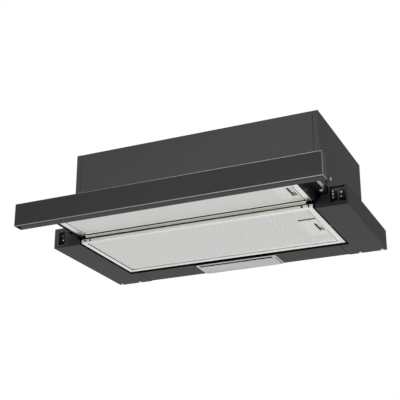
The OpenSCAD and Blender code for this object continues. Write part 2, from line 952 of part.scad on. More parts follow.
// Quarter bend of the wires, centred on x and y and turned by an angle
module loom_elbow(x, y, angle) {
    translate([x, y, side_screw_z]) rotate([0, 0, angle]) rotate_extrude(angle = 90)
        translate([loom_bend, 0]) circle(loom_r);
}

// Wires from the terminal box past the scroll to the capacitor
module wiring_loom() {
    x0 = -half_casing + sheet_t + box_depth + box_wall;
    x1 = half_casing - sheet_t - capacitor_l;
    turn0 = x0 + loom_end;
    turn1 = x1 - loom_end;
    rear = side_screw_y - loom_bend;
    front = loom_y + loom_bend;
    color([0.5, 0.5, 0.52]) {
        rod_x(x0, turn0, side_screw_y, side_screw_z, loom_r);
        loom_elbow(turn0, rear, 0);
        rod_y(front, rear, turn0 + loom_bend, side_screw_z, loom_r);
        loom_elbow(turn0 + 2 * loom_bend, front, 180);
        rod_x(turn0 + 2 * loom_bend, turn1 - 2 * loom_bend, loom_y, side_screw_z, loom_r);
        loom_elbow(turn1 - 2 * loom_bend, front, 270);
        rod_y(front, rear, turn1 - loom_bend, side_screw_z, loom_r);
        loom_elbow(turn1, rear, 90);
        rod_x(turn1, x1, side_screw_y, side_screw_z, loom_r);
    }
}

// Front bar: one folded channel with a deep lower lip
module front_bar() {
    x = half_w - bar_t;
    color(black_steel) {
        block([-x, bar_front, bar_low], [x, bar_front + bar_t, bar_top]);
        block([-x, bar_front, bar_top - bar_t], [x, cap_back, bar_top]);
        block([-x, bar_front, bar_low], [x, bar_back, bar_low + bar_t]);
    }
}

module end_cap() {
    block([half_w - bar_t, bar_front, bar_low], [half_w, cap_back, bar_top]);
}

module left_end_cap() {
    color(black_steel) left_copy() end_cap();
}

module right_end_cap() {
    color(black_steel) end_cap();
}

// Plate inside the bar that ties it to the tray's walls and cover
module bar_backing() {
    color(black_steel) {
        block([-arm_edge, cap_back - sheet_t, bar_low + bar_t], [arm_edge, cap_back, bar_top - bar_t]);
        block([-arm_edge, bar_front + bar_t, cover_low - sheet_t], [arm_edge, cap_back, cover_low]);
    }
}

// Cover that closes the tray above
module tray_cover() {
    color(black_steel) block([-arm_edge, cap_back, cover_low], [arm_edge, tray_wall_back, cover_top]);
}

// Side wall of the tray with its flange under the cover
module tray_wall() {
    t = sheet_t;
    along_y(cap_back, tray_wall_back, [
        [wing_in, wall_low], [wing_in + t, wall_low], [wing_in + t, cover_low - t],
        [arm_edge, cover_low - t], [arm_edge, cover_low], [wing_in, cover_low]
    ]);
}

module left_tray_wall() {
    color(black_steel) difference() {
        left_copy() tray_wall();
        for (k = tab_places) {
            y = front_front + front_filter_d * k;
            block(
                [-wing_in - 2 * sheet_t, y - tab_w / 2 - tab_gap, front_low - 1],
                [-wing_in + 1, y + tab_w / 2 + tab_gap, front_low + filter_t]
            );
        }
    }
}

module right_tray_wall() {
    color(black_steel) difference() {
        tray_wall();
        rod_x(
            wing_in - 1, wing_in + 2 * sheet_t,
            front_plate_y + latch_bolt_y, front_low + latch_z, bolt_d / 2 + strike_gap
        );
    }
}

// Inner rail: an angle on the tray's flange whose web runs inside the outer rail
module inner_rail() {
    y1 = inner_back - glide_l;
    block([inner_web - sheet_t, cap_back, inner_low], [inner_web, y1, cover_low]);
    block([rail_in, cap_back, cover_low - sheet_t], [inner_web, y1, cover_low]);
    block([arm_edge, cap_back, cover_low - sheet_t], [rail_in, tray_wall_back, cover_low]);
}

module left_inner_rail() {
    color(zinc) left_copy() inner_rail();
}

module right_inner_rail() {
    color(zinc) inner_rail();
}

// Nylon glides on the back ends of the inner rails, inside the outer rails
module rear_glides() {
    x0 = rail_in;
    x1 = rail_out - sheet_t - glide_gap;
    z0 = rail_low + sheet_t + glide_gap;
    z1 = rail_top - sheet_t - glide_gap;
    color("white") for (s = [0, 1]) mirror([s, 0, 0])
        block([x0, inner_back - glide_l, z0], [x1, inner_back, z1]);
}

// Frame of a filter: two sheet faces round a low wall, and the tabs on its left end
module filter_frame(y0, depth, low) {
    x = filter_half;
    y1 = y0 + depth;
    difference() {
        block([-x, y0, low], [x, y1, low + filter_t]);
        block([-x + rim_t, y0 + rim_t, low + rim_t], [x - rim_t, y1 - rim_t, low + filter_t - rim_t]);
        block([-x + rim_w, y0 + rim_w, low - 1], [x - rim_w, y1 - rim_w, low + filter_t + 1]);
    }
    for (y = tab_places)
        block(
            [-x - tab_l, y0 + depth * y - tab_w / 2, low + tab_lift + sheet_t],
            [-x, y0 + depth * y + tab_w / 2, low + tab_lift + 2 * sheet_t]
        );
}

// Right end of a filter's frame: the hole that the bolt slides through
module filter_frame_bored(y0, depth, low, bolt_y) {
    difference() {
        filter_frame(y0, depth, low);
        rod_x(filter_half - 2, filter_half + 1, bolt_y, low + latch_z, bolt_d / 2 + 0.3);
    }
}

// The main filter's front wall has two round holes and a slot near each end
module main_filter_frame() {
    y0 = main_front - 1;
    y1 = main_front + 1;
    color(filter_metal) difference() {
        filter_frame_bored(main_front, main_filter_d, main_low, main_plate_y + latch_bolt_y);
        for (x = [-front_hole_x, front_hole_x])
            rod_y(y0, y1, x, front_hole_z, front_hole_d / 2);
        for (slot = [[bolt_slot_x, bolt_slot_w, bolt_slot_h], [hook_slot_x, hook_slot_w, hook_slot_h]])
            block(
                [slot[0], y0, front_hole_z - slot[2] / 2],
                [slot[0] + slot[1], y1, front_hole_z + slot[2] / 2]
            );
    }
}

// The front filter's rear edge is turned down, further at its right end than at its left
module front_filter_frame() {
    x = filter_half - front_hem_in;
    color(filter_metal) {
        filter_frame_bored(front_front, front_filter_d, front_low, front_plate_y + latch_bolt_y);
        along_y(front_back - rim_t, front_back, [
            [-x, front_low - hem_left_h], [x, front_low - hem_right_h], [x, front_low], [-x, front_low]
        ]);
    }
}

// Layers of mesh held in a frame, cut out round the latch
module filter_mesh(y0, depth, low, plate_y, plate_d) {
    x = filter_half - rim_t;
    y1 = y0 + depth;
    first = low + rim_t;
    last = low + filter_t - rim_t - mesh_t;
    color([0.72, 0.72, 0.70]) difference() {
        for (z = [first, (first + last) / 2, last])
            block([-x, y0 + rim_t, z], [x, y1 - rim_t, z + mesh_t]);
        block(
            [latch_plate_out - latch_plate_w - 0.5, plate_y - 0.5, low],
            [x + 1, plate_y + plate_d + 0.5, low + filter_t]
        );
    }
}

module main_filter_mesh() {
    filter_mesh(main_front, main_filter_d, main_low, main_plate_y, latch_plate_d);
}

module front_filter_mesh() {
    filter_mesh(front_front, front_filter_d, front_low, front_plate_y, front_plate_d);
}

// Plate round the latch, with the finger window and the guide for the bolt
module latch_plate(y, low, depth) {
    x1 = latch_plate_out;
    bolt_y = y + latch_bolt_y;
    color([0.82, 0.82, 0.79]) difference() {
        union() {
            block([x1 - latch_plate_w, y, low + rim_t], [x1, y + depth, low + 2 * rim_t]);
            block(
                [x1 - bolt_guide_t, bolt_y - bolt_guide_half, low + rim_t],
                [x1, bolt_y + bolt_guide_half, low + filter_t - rim_t]
            );
        }
        block(
            [x1 - latch_window_in - latch_window_w, y + latch_window_y, low - 1],
            [x1 - latch_window_in, y + latch_window_y + latch_window_l, low + filter_t]
        );
        rod_x(x1 - 3, x1 + 1, bolt_y, low + latch_z, bolt_d / 2 + bolt_gap);
    }
}

module main_latch_plate() {
    latch_plate(main_plate_y, main_low, latch_plate_d);
}

module front_latch_plate() {
    latch_plate(front_plate_y, front_low, front_plate_d);
}

// Latch: a finger plate in the window, its carrier behind it, and the bolt
module latch(y, low) {
    x1 = latch_plate_out;
    y0 = y + latch_window_y;
    y1 = y0 + latch_window_l;
    bolt_y = y + latch_bolt_y;
    behind = low + 2 * rim_t + latch_gap;
    tab_x = x1 - latch_window_in - latch_window_w + latch_travel + latch_gap;
    color([0.62, 0.63, 0.61]) {
        rod_x(x1 - bolt_tail, wing_in + bolt_reach, bolt_y, low + latch_z, bolt_d / 2);
        block(
            [tab_x + 1 - latch_gap, y0 - carrier_lap, behind],
            [x1 - carrier_in, y1 + carrier_lap, low + latch_z]
        );
        block(
            [tab_x, y0 + latch_gap, low + rim_t],
            [x1 - latch_window_in - latch_gap, y1 - latch_gap, behind + 0.1]
        );
    }
}

module main_latch() {
    latch(main_plate_y, main_low);
}

module front_latch() {
    latch(front_plate_y, front_low);
}

casing_front_panel();
casing_left_side();
casing_right_side();
casing_top_panel();
casing_rear_panel();
side_screws();
left_wing();
right_wing();
left_front_plate();
right_front_plate();
left_rear_strip();
right_rear_strip();
base_rear_wall();
base_screws();
left_outer_rail();
right_outer_rail();
front_glides();
lamp_bezel();
lamp_housing();
lamp_holder();
lamp_bulb();
lamp_lens();
left_switch_housing();
right_switch_housing();
left_rocker();
speed_rocker();
light_rocker();
scroll_left_half();
scroll_right_half();
blower_wheel();
motor_shaft();
motor();
motor_spider();
duct_collar();
left_flap();
right_flap();
capacitor();
terminal_box();
terminal_lid();
cable_gland();
wiring_loom();
front_bar();
left_end_cap();
right_end_cap();
bar_backing();
tray_cover();
left_tray_wall();
right_tray_wall();
left_inner_rail();
right_inner_rail();
rear_glides();
main_filter_frame();
main_filter_mesh();
main_latch_plate();
main_latch();
front_filter_frame();
front_filter_mesh();
front_latch_plate();
front_latch();
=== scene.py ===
import math

import bmesh
import bpy
from mathutils import Matrix, Vector


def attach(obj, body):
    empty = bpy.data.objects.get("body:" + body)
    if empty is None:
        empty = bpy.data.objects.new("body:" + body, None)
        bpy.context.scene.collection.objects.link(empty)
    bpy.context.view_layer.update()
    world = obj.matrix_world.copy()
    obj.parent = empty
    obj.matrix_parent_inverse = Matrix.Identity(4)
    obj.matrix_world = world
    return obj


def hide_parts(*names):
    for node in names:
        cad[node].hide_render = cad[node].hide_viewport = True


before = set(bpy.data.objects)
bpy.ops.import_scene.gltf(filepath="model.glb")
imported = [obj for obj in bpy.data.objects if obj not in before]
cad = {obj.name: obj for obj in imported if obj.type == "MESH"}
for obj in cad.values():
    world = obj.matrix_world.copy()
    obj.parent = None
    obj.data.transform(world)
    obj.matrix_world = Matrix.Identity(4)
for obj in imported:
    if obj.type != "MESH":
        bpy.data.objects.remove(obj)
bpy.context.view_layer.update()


# The hood hangs above eye level, so the camera stands low on its right and looks up.
# The floor and the walls of the studio are pale, and three soft lamps light the hood from the
# front, from below and from above.
studio_white = "#ffffff"
room_low = "#ffffff"
room_high = "#7c7c7e"
floor_white = "#f2f1ee"
camera_place = (0.7260, -1.7138, -0.6701)
camera_yaw = 0.4229
camera_pitch = 0.3759
camera_lens = 89.34
camera_sensor = 36
floor_depth = -2.4
floor_half = 2.5
lamps = [
    ("front_softbox", (-0.6, -3.3, 0.25), 1.2, 88),
    ("low_softbox", (0.3, -1.0, -2.0), 2.4, 9),
    ("top_softbox", (0.0, 0.6, 2.4), 2.4, 20),
]


def linear(text):
    """The linear colour of an sRGB hex value."""
    parts = [int(text[i:i + 2], 16) / 255 for i in (1, 3, 5)]
    return [c / 12.92 if c <= 0.04045 else ((c + 0.055) / 1.055) ** 2.4 for c in parts] + [1.0]


def add(finish, kind, sockets=None, **settings):
    """One node in a material, with its settings, and its sockets set or linked."""
    node = finish.node_tree.nodes.new("ShaderNode" + kind)
    for name, value in settings.items():
        setattr(node, name, value)
    for name, value in (sockets or {}).items():
        if isinstance(value, bpy.types.NodeSocket):
            finish.node_tree.links.new(value, node.inputs[name])
        else:
            node.inputs[name].default_value = value
    return node


def new_finish(name):
    """An empty material."""
    finish = bpy.data.materials.new(name)
    finish.use_nodes = True
    finish.node_tree.nodes.clear()
    return finish


scene = bpy.context.scene
scene.view_settings.view_transform = "Standard"

view = Vector((
    -math.sin(camera_yaw) * math.cos(camera_pitch),
    math.cos(camera_yaw) * math.cos(camera_pitch),
    math.sin(camera_pitch),
))
camera = bpy.data.objects.new("camera", bpy.data.cameras.new("camera"))
camera.data.lens = camera_lens
camera.data.sensor_width = camera_sensor
camera.location = camera_place
camera.rotation_mode = "QUATERNION"
camera.rotation_quaternion = view.to_track_quat("-Z", "Y")
scene.collection.objects.link(camera)
scene.camera = camera

studio = bpy.data.worlds.new("studio")
studio.use_nodes = True
studio.node_tree.nodes.clear()
facing = add(studio, "TexCoord").outputs["Generated"]
height = add(studio, "SeparateXYZ", {"Vector": facing}).outputs["Z"]
level = add(studio, "MapRange", {"Value": height, "From Min": -1.0, "From Max": 1.0})
glow = add(studio, "ValToRGB", {"Fac": level.outputs["Result"]})
glow.color_ramp.elements[0].color = linear(room_low)
glow.color_ramp.elements[1].color = linear(room_high)
seen = add(studio, "LightPath").outputs["Is Camera Ray"]
both = add(studio, "Mix", {
    "Factor": seen, "A": glow.outputs["Color"], "B": linear(studio_white),
}, data_type="RGBA")
backdrop = add(studio, "Background", {"Color": both.outputs["Result"], "Strength": 1.0})
add(studio, "OutputWorld", {"Surface": backdrop.outputs["Background"]})
scene.world = studio

for name, place, size, power in lamps:
    lamp = bpy.data.objects.new(name, bpy.data.lights.new(name, "AREA"))
    lamp.data.size = size
    lamp.data.energy = power
    lamp.location = place
    lamp.rotation_mode = "QUATERNION"
    lamp.rotation_quaternion = (-Vector(place)).to_track_quat("-Z", "Y")
    scene.collection.objects.link(lamp)

floor_shape = bmesh.new()
bmesh.ops.create_grid(floor_shape, x_segments=1, y_segments=1, size=floor_half)
bmesh.ops.translate(floor_shape, vec=(0, 0, floor_depth), verts=floor_shape.verts)
floor_mesh = bpy.data.meshes.new("studio_floor")
floor_shape.to_mesh(floor_mesh)
floor_shape.free()
painted_floor = new_finish("painted_floor")
floor_grain = add(painted_floor, "TexNoise", {"Scale": 3.0, "Detail": 4.0})
floor_rough = add(painted_floor, "MapRange", {
    "Value": floor_grain.outputs["Fac"], "To Min": 0.7, "To Max": 0.85,
})
floor_shader = add(painted_floor, "BsdfPrincipled", {
    "Base Color": linear(floor_white), "Roughness": floor_rough.outputs["Result"],
})
add(painted_floor, "OutputMaterial", {"Surface": floor_shader.outputs["BSDF"]})
floor_mesh.materials.append(painted_floor)
studio_floor = bpy.data.objects.new("studio_floor", floor_mesh)
scene.collection.objects.link(studio_floor)


# The casing is folded from 1 mm steel sheet: a front panel, two sides, a top and a rear panel.
# It is coated with black polyester powder, which is stoved to a satin skin with a fine grain.
# The panels are hemmed and spot welded along their folded edges, so every corner is a small fold.
coat_black = "#28282a"
coat_black_low = "#222224"
casing_fold = 0.45
hook_slot_y = -108.5
hook_slot_z = 20.0
hook_slot_near_y = 3.5
hook_slot_near_z = 5.0
hook_slot_spread = 1.5  # the hook's slot is drawn wider than it is, so that it shows
grain_mm = 0.9  # real grain is near 0.3 mm, drawn coarser so that it shows
cloud_mm = 60.0
weld_gap = 0.002
flat_angle = math.radians(0.5)
fold_angle = math.radians(40)


def per_mm(size):
    """The scale that makes a texture repeat once in so many millimetres."""
    return 1000.0 / size


def powder_coat(name, high, low, gloss, sheen=0.35):
    """Stoved polyester powder: soft sheen, faint clouds of tone, and a fine pebbled skin."""
    finish = new_finish(name)
    place = add(finish, "TexCoord").outputs["Object"]
    cloud = add(finish, "TexNoise", {"Vector": place, "Scale": per_mm(cloud_mm), "Detail": 3.0})
    speck = add(finish, "TexNoise", {"Vector": place, "Scale": per_mm(grain_mm), "Detail": 2.0})
    tone = add(finish, "Math", {0: cloud.outputs["Fac"], 1: speck.outputs["Fac"]}, operation="ADD")
    part = add(finish, "MapRange", {"Value": tone.outputs["Value"], "From Min": 0.7, "From Max": 1.3})
    colour = add(finish, "ValToRGB", {"Fac": part.outputs["Result"]})
    colour.color_ramp.elements[0].color = linear(low)
    colour.color_ramp.elements[1].color = linear(high)
    rough = add(finish, "MapRange", {
        "Value": speck.outputs["Fac"], "To Min": gloss - 0.06, "To Max": gloss + 0.08,
    })
    skin = add(finish, "Bump", {
        "Height": speck.outputs["Fac"], "Strength": 0.25, "Distance": 0.0001,
    })
    shader = add(finish, "BsdfPrincipled", {
        "Base Color": colour.outputs["Color"], "Roughness": rough.outputs["Result"],
        "Normal": skin.outputs["Normal"], "IOR": 1.45, "Specular IOR Level": sheen,
    })
    add(finish, "OutputMaterial", {"Surface": shader.outputs["BSDF"]})
    return finish


def fit(name, shape, finishes, body, node, smooth=0):
    """Makes a piece of a mesh drawn in millimetres, and says where it belongs and what it replaces."""
    bmesh.ops.scale(shape, vec=(0.001, 0.001, 0.001), verts=shape.verts)
    mesh = bpy.data.meshes.new(name)
    shape.to_mesh(mesh)
    shape.free()
    for finish in finishes:
        mesh.materials.append(finish)
    if smooth:
        mesh.polygons.foreach_set("use_smooth", [True] * len(mesh.polygons))
        mesh.set_sharp_from_angle(angle=math.radians(smooth))
    piece = bpy.data.objects.new(name, mesh)
    scene.collection.objects.link(piece)
    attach(piece, body)
    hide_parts(node)


def rounded(shape, edges, radius, segments=2, clamp=False):
    """Rounds the given edges."""
    bmesh.ops.bevel(
        shape, geom=edges, offset=radius, offset_type="OFFSET", segments=segments, profile=0.5,
        affect="EDGES", clamp_overlap=clamp, material=-1,
    )


def folded(node, radius):
    """A merged copy of a CAD node, in millimetres, with its sharp edges rounded as folds are."""
    shape = bmesh.new()
    shape.from_mesh(cad[node].data)
    bmesh.ops.scale(shape, vec=(1000, 1000, 1000), verts=shape.verts)
    bmesh.ops.remove_doubles(shape, verts=shape.verts, dist=weld_gap)
    bmesh.ops.dissolve_limit(
        shape, angle_limit=flat_angle, use_dissolve_boundaries=False,
        verts=shape.verts, edges=shape.edges,
    )
    for face in shape.faces:
        face.material_index = 0
    sharp = [e for e in shape.edges if len(e.link_faces) == 2 and e.calc_face_angle(0) > fold_angle]
    rounded(shape, sharp, radius, clamp=True)
    return shape


satin_black = powder_coat("satin_black_powder_coat", coat_black, coat_black_low, 0.48)
for node in (
    "casing_front_panel", "casing_left_side", "casing_right_side", "casing_top_panel",
    "casing_rear_panel",
):
    shape = folded(node, casing_fold)
    for v in shape.verts:
        off_y = v.co.y - hook_slot_y
        if abs(off_y) < hook_slot_near_y and abs(v.co.z - hook_slot_z) < hook_slot_near_z:
            v.co.y = hook_slot_y + hook_slot_spread * off_y
    fit(node + "_sheet", shape, [satin_black], "hood", node)


# The base is the low, wide box: two wings with flanged floors, the plates that close their fronts,
# the strips beside the lamp and the back wall. All are the same coated sheet, screwed together.
# The sills, the strips' front edges and the wings' outer folds are painted matt black as shade.
shade_black = "#0b0b0c"
shade_black_low = "#060607"
# Painted shade: the wings' outer sides are coloured a little darker than the rest.
side_shade = "#1d1d1f"  # the outer sides of the wings look a little darker than the rest
side_shade_low = "#18181a"
wing_fold = 0.8
plate_fold = 0.3
sill_x = 241.5
seam_x = 221.7
seam_near = 0.5
seam_open = 0.6
outer_fold_x = 297.5
mostly = 0.9  # how far a normal points along an axis on a flat face and the half fold beside it
wholly = 0.95  # the same on flat faces alone
shade_finish = 1
side_shade_finish = 2


def sloping(face):
    """Whether a face lies square to none of the three axes."""
    return max(abs(c) for c in face.normal) < wholly


# A matt black coat that is painted shade, and a darker coat that is painted shade for the wings' sides.
shade_black_coat = powder_coat("painted_shade_black_coat", shade_black, shade_black_low, 0.7, 0.1)
side_shade_coat = powder_coat("side_painted_shade_coat", side_shade, side_shade_low, 0.5, 0.3)
for node in (
    "left_wing", "right_wing", "left_front_plate", "right_front_plate", "left_rear_strip",
    "right_rear_strip", "base_rear_wall",
):
    shape = folded(node, wing_fold if "wing" in node else plate_fold)
    shape.normal_update()
    for face in shape.faces:
        across = abs(face.calc_center_median().x)
        upright = abs(face.normal.x) > mostly
        sill = upright and across < sill_x
        outer_fold = across > outer_fold_x and sloping(face)
        # Painted shade: these faces take the matt black, and the outer sides the darker coat.
        if sill or outer_fold or ("strip" in node and face.normal.y < -mostly):
            face.material_index = shade_finish
        elif across > outer_fold_x and upright:
            face.material_index = side_shade_finish
    if "strip" in node:
        for v in shape.verts:
            if abs(abs(v.co.x) - seam_x) < seam_near:
                v.co.x -= math.copysign(seam_open, v.co.x)
    fit(node + "_sheet", shape, [satin_black, shade_black_coat, side_shade_coat], "hood", node)


# Cross-head screws hold the rear wall to the wings, and one goes through each casing side.
# They are zinc plated steel with domed heads; the bright plating has a cold, bluish cast.
head_r = 3.5
head_h = 1.8
# Painted shade: the foot of each head and its pressed cross are coloured dark grey.
screw_shade_finish = 1
head_rings = [  # inset, rise and finish
    (0.05, 0.5, screw_shade_finish), (0.5, 0.55, 0), (0.9, 0.5, 0), (0.75, 0.25, 0),
]
round_steps = 24
shank_r = 2.0
cross_l = 2.6
cross_w = 0.7
cross_t = 0.12
cross_sunk = 0.07
cross_turn = 20
base_screw_x = (-291, -247, 247, 291)
base_screw_y = 130
base_screw_z = -40
base_screw_l = 6
side_screw_place = (254, -84, 34)
side_screw_l = 8
zinc_blue = "#eef3fa"
screw_shade_grey = "#2a2c2f"
screw_shade_grey_low = "#1c1d1f"


def plated(name, colour, rough, spangle_mm, relief):
    """Zinc on steel: a bright metal whose crystals differ a little in tone and gloss."""
    finish = new_finish(name)
    place = add(finish, "TexCoord").outputs["Object"]
    crystal = add(finish, "TexVoronoi", {"Vector": place, "Scale": per_mm(spangle_mm)})
    streak = add(finish, "TexNoise", {"Vector": place, "Scale": per_mm(spangle_mm * 2), "Detail": 3.0})
    tone = add(finish, "Mix", {
        "Factor": 0.18, "A": linear(colour), "B": crystal.outputs["Color"],
    }, data_type="RGBA", blend_type="SOFT_LIGHT")
    gloss = add(finish, "MapRange", {
        "Value": streak.outputs["Fac"], "To Min": rough - 0.1, "To Max": rough + 0.12,
    })
    skin = add(finish, "Bump", {"Height": streak.outputs["Fac"], "Strength": relief, "Distance": 0.0002})
    shader = add(finish, "BsdfPrincipled", {
        "Base Color": tone.outputs["Result"], "Metallic": 1.0, "Roughness": gloss.outputs["Result"],
        "Normal": skin.outputs["Normal"],
    })
    add(finish, "OutputMaterial", {"Surface": shader.outputs["BSDF"]})
    return finish


def merge(shape, extra):
    """Puts one drawn shape into another, and clears it away."""
    passed = bpy.data.meshes.new("passed")
    extra.to_mesh(passed)
    extra.free()
    shape.from_mesh(passed)
    bpy.data.meshes.remove(passed)


def domed_screw(shape, place, along):
    """A domed head with a pressed cross, seated at a place and facing along a direction."""
    head = bmesh.new()
    bmesh.ops.create_circle(head, cap_ends=True, segments=round_steps, radius=head_r)
    head.faces.ensure_lookup_table()
    top = head.faces[0]
    for inset, rise, finish in head_rings:
        wall = bmesh.ops.inset_region(head, faces=[top], thickness=inset)["faces"]
        bmesh.ops.translate(head, vec=(0, 0, rise), verts=top.verts)
        for face in wall:
            face.material_index = finish
    for turn in (0, 90):
        bar = bmesh.ops.create_cube(head, size=1.0)["verts"]
        turned = Matrix.Rotation(math.radians(turn + cross_turn), 3, "Z")
        bmesh.ops.scale(head, vec=(cross_l, cross_w, cross_t), verts=bar)
        bmesh.ops.translate(head, vec=(0, 0, head_h - cross_sunk), verts=bar)
        bmesh.ops.rotate(head, matrix=turned, verts=bar)
        # The cross is coloured dark grey as painted shade.
        for face in {f for v in bar for f in v.link_faces}:
            face.material_index = screw_shade_finish
    seated = Matrix.Translation(place) @ Vector(along).to_track_quat("Z", "Y").to_matrix().to_4x4()
    bmesh.ops.transform(head, matrix=seated, verts=head.verts)
    merge(shape, head)


def rod(shape, start, end, radius):
    """A closed round bar between two points."""
    span = Vector(end) - Vector(start)
    made = bmesh.ops.create_cone(
        shape, cap_ends=True, segments=round_steps, radius1=radius, radius2=radius, depth=span.length,
    )["verts"]
    middle = Matrix.Translation((Vector(start) + Vector(end)) / 2)
    turn = span.to_track_quat("Z", "Y").to_matrix().to_4x4()
    bmesh.ops.transform(shape, matrix=middle @ turn, verts=made)


zinc = plated("bright_zinc_plate", zinc_blue, 0.3, 2.0, 0.1)
screw_shade = powder_coat("screw_painted_shade", screw_shade_grey, screw_shade_grey_low, 0.5)
base_ends = [((x, base_screw_y, base_screw_z), (0, 0, -1)) for x in base_screw_x]
side_x, side_y, side_z = side_screw_place
side_ends = [((side * side_x, side_y, side_z), (side, 0, 0)) for side in (-1, 1)]
for node, ends, length in (
    ("base_screws", base_ends, base_screw_l), ("side_screws", side_ends, side_screw_l),
):
    shape = bmesh.new()
    for place, along in ends:
        domed_screw(shape, place, along)
        rod(shape, place, Vector(place) - length * Vector(along), shank_r)
    fit(node + "_zinc", shape, [zinc, screw_shade], "hood", node, smooth=40)


# Each arm of the tray runs in a pair of rolled channels on nylon glides. The webs that slide are
# galvanised strip with a pale bluish spangle, their level faces inside drawn in the satin black coat,
# and the fixed channels are drawn dark grey. The guides at the front are black carriers with a
# white nylon nose.
rail_zinc = "#cfd8e2"
rail_dark = "#2b2c2e"
nylon_white = "#ecece8"
nylon_black = "#131314"
mould_cloud_mm = 25.0
rail_fold = 0.25
front_glide_fold = 0.3
rear_glide_fold = 0.5
web_x = 261.0
web_level = 0.5
web_finish = 1
nose_finish = 1
nose_front = -146.4
nose_back = -141.0
nose = [(251.2, -10.5), (253.4, -8.9), (258.8, -8.9), (258.8, -10.4), (255.6, -13.3), (254.4, -13.3)]


def moulded(name, colour, rough, speck_mm, relief):
    """Moulded plastic: an even colour with faint clouds and the fine texture of its mould."""
    finish = new_finish(name)
    place = add(finish, "TexCoord").outputs["Object"]
    cloud = add(finish, "TexNoise", {"Vector": place, "Scale": per_mm(mould_cloud_mm), "Detail": 2.0})
    speck = add(finish, "TexNoise", {"Vector": place, "Scale": per_mm(speck_mm), "Detail": 2.0})
    tone = add(finish, "MapRange", {"Value": cloud.outputs["Fac"], "To Min": 0.85, "To Max": 1.15})
    shade = add(finish, "HueSaturation", {"Value": tone.outputs["Result"], "Color": linear(colour)})
    gloss = add(finish, "MapRange", {
        "Value": speck.outputs["Fac"], "To Min": rough - 0.05, "To Max": rough + 0.08,
    })
    skin = add(finish, "Bump", {"Height": speck.outputs["Fac"], "Strength": relief, "Distance": 0.0001})
    shader = add(finish, "BsdfPrincipled", {
        "Base Color": shade.outputs["Color"], "Roughness": gloss.outputs["Result"],
        "Normal": skin.outputs["Normal"], "IOR": 1.5,
    })
    add(finish, "OutputMaterial", {"Surface": shader.outputs["BSDF"]})
    return finish


def sheet_between(shape, outlines, axis, start, depth, finish=0):
    """Sheet cut to an outline, less the holes that follow it, drawn out along an axis."""
    sheet = bmesh.new()
    for outline in outlines:
        corners = [sheet.verts.new((u, v, 0)) for u, v in outline]
        for a, b in zip(corners, corners[1:] + corners[:1]):
            sheet.edges.new((a, b))
    bmesh.ops.triangle_fill(sheet, use_beauty=True, edges=sheet.edges, normal=(0, 0, 1))
    made = bmesh.ops.extrude_face_region(sheet, geom=sheet.faces)["geom"]
    bmesh.ops.translate(
        sheet, vec=(0, 0, depth), verts=[v for v in made if isinstance(v, bmesh.types.BMVert)],
    )
    turn = {
        "x": Matrix(((0, 0, 1, start), (1, 0, 0, 0), (0, 1, 0, 0), (0, 0, 0, 1))),
        "y": Matrix(((1, 0, 0, 0), (0, 0, 1, start), (0, 1, 0, 0), (0, 0, 0, 1))),
        "z": Matrix.Translation((0, 0, start)),
    }[axis]
    bmesh.ops.transform(sheet, matrix=turn, verts=sheet.verts)
    bmesh.ops.recalc_face_normals(sheet, faces=sheet.faces)
    for face in sheet.faces:
        face.material_index = finish
    merge(shape, sheet)


galvanised = plated("hot_dip_galvanised", rail_zinc, 0.36, 5.0, 0.15)
# The fixed channels are drawn in a dark grey zinc.
dark_channel_zinc = plated("dark_zinc_channel", rail_dark, 0.5, 5.0, 0.15)
nylon = moulded("white_nylon", nylon_white, 0.4, 1.0, 0.2)
carrier = moulded("black_nylon", nylon_black, 0.5, 1.0, 0.2)
for node in ("left_outer_rail", "right_outer_rail"):
    fit(node + "_channel", folded(node, rail_fold), [dark_channel_zinc], "hood", node)
for node in ("left_inner_rail", "right_inner_rail"):
    shape = folded(node, rail_fold)
    shape.normal_update()
    # The level faces inside x 261 are drawn in the satin black coat, darker than the zinc.
    for face in shape.faces:
        if abs(face.normal.z) > web_level and abs(face.calc_center_median().x) < web_x:
            face.material_index = web_finish
    fit(node + "_channel", shape, [galvanised, satin_black], "tray", node)
shape = folded("front_glides", front_glide_fold)
for side in (-1, 1):
    outline = [(side * x, z) for x, z in nose]
    sheet_between(shape, [outline], "y", nose_front, nose_back - nose_front, nose_finish)
fit("front_glides_moulding", shape, [carrier, nylon], "hood", "front_glides")
shape = folded("rear_glides", rear_glide_fold)
fit("rear_glides_moulding", shape, [nylon], "tray", "rear_glides")


# The tray is a flat cover with a folded side wall at each end, spot welded under its edges.
# It slides in and out with the front filter, and its steel has the casing's satin coat.
tray_fold = 0.25
for node in ("tray_cover", "left_tray_wall", "right_tray_wall", "bar_backing"):
    fit(node + "_sheet", folded(node, tray_fold), [satin_black], "tray", node)


# The front bar is one folded channel with a cap let into each end and a tab folded up behind it.
# Its face is smoother than the casing. Its chamfered edges carry a painted highlight in light metal
# grey, so they show as thin, lighter lines; its underside is coloured lighter as painted light from
# below, and its insides are painted black as shade. The lip under it is drawn in at its front
# corners, most at the left.
bar_x = 297.8
bar_end = 299.0
bar_front = -278.0
bar_cap_back = -256.3
bar_back = -255.5
bar_low = -40.0
bar_top = 4.2
bar_t = 1.2
bar_edge = 1.1
bar_edge_low = 0.8
bar_inner_edge = 0.8
cap_edge = 1.0
lip_start = -272.0
lip_lap = 1.0
left_corner_in = 7.6
left_corner_mid_in = 6.4
right_corner_in = 1.6
right_corner_mid_in = 0.8
corner_mid_y = -263.0
end_tab_y = -260.0
end_tab_in = 285.0
end_tab_t = 0.8
end_near = 0.01
edge_highlight_finish = 1
underside_light_finish = 2
inside_shade_finish = 3
cap_inside_shade_finish = 2
face_black = "#1c1c1e"
face_black_low = "#18181a"
cap_black = "#3a3a3c"
cap_black_low = "#343436"
underside_light = "#343436"
underside_light_low = "#2e2e30"
edge_highlight_grey = "#a9abae"


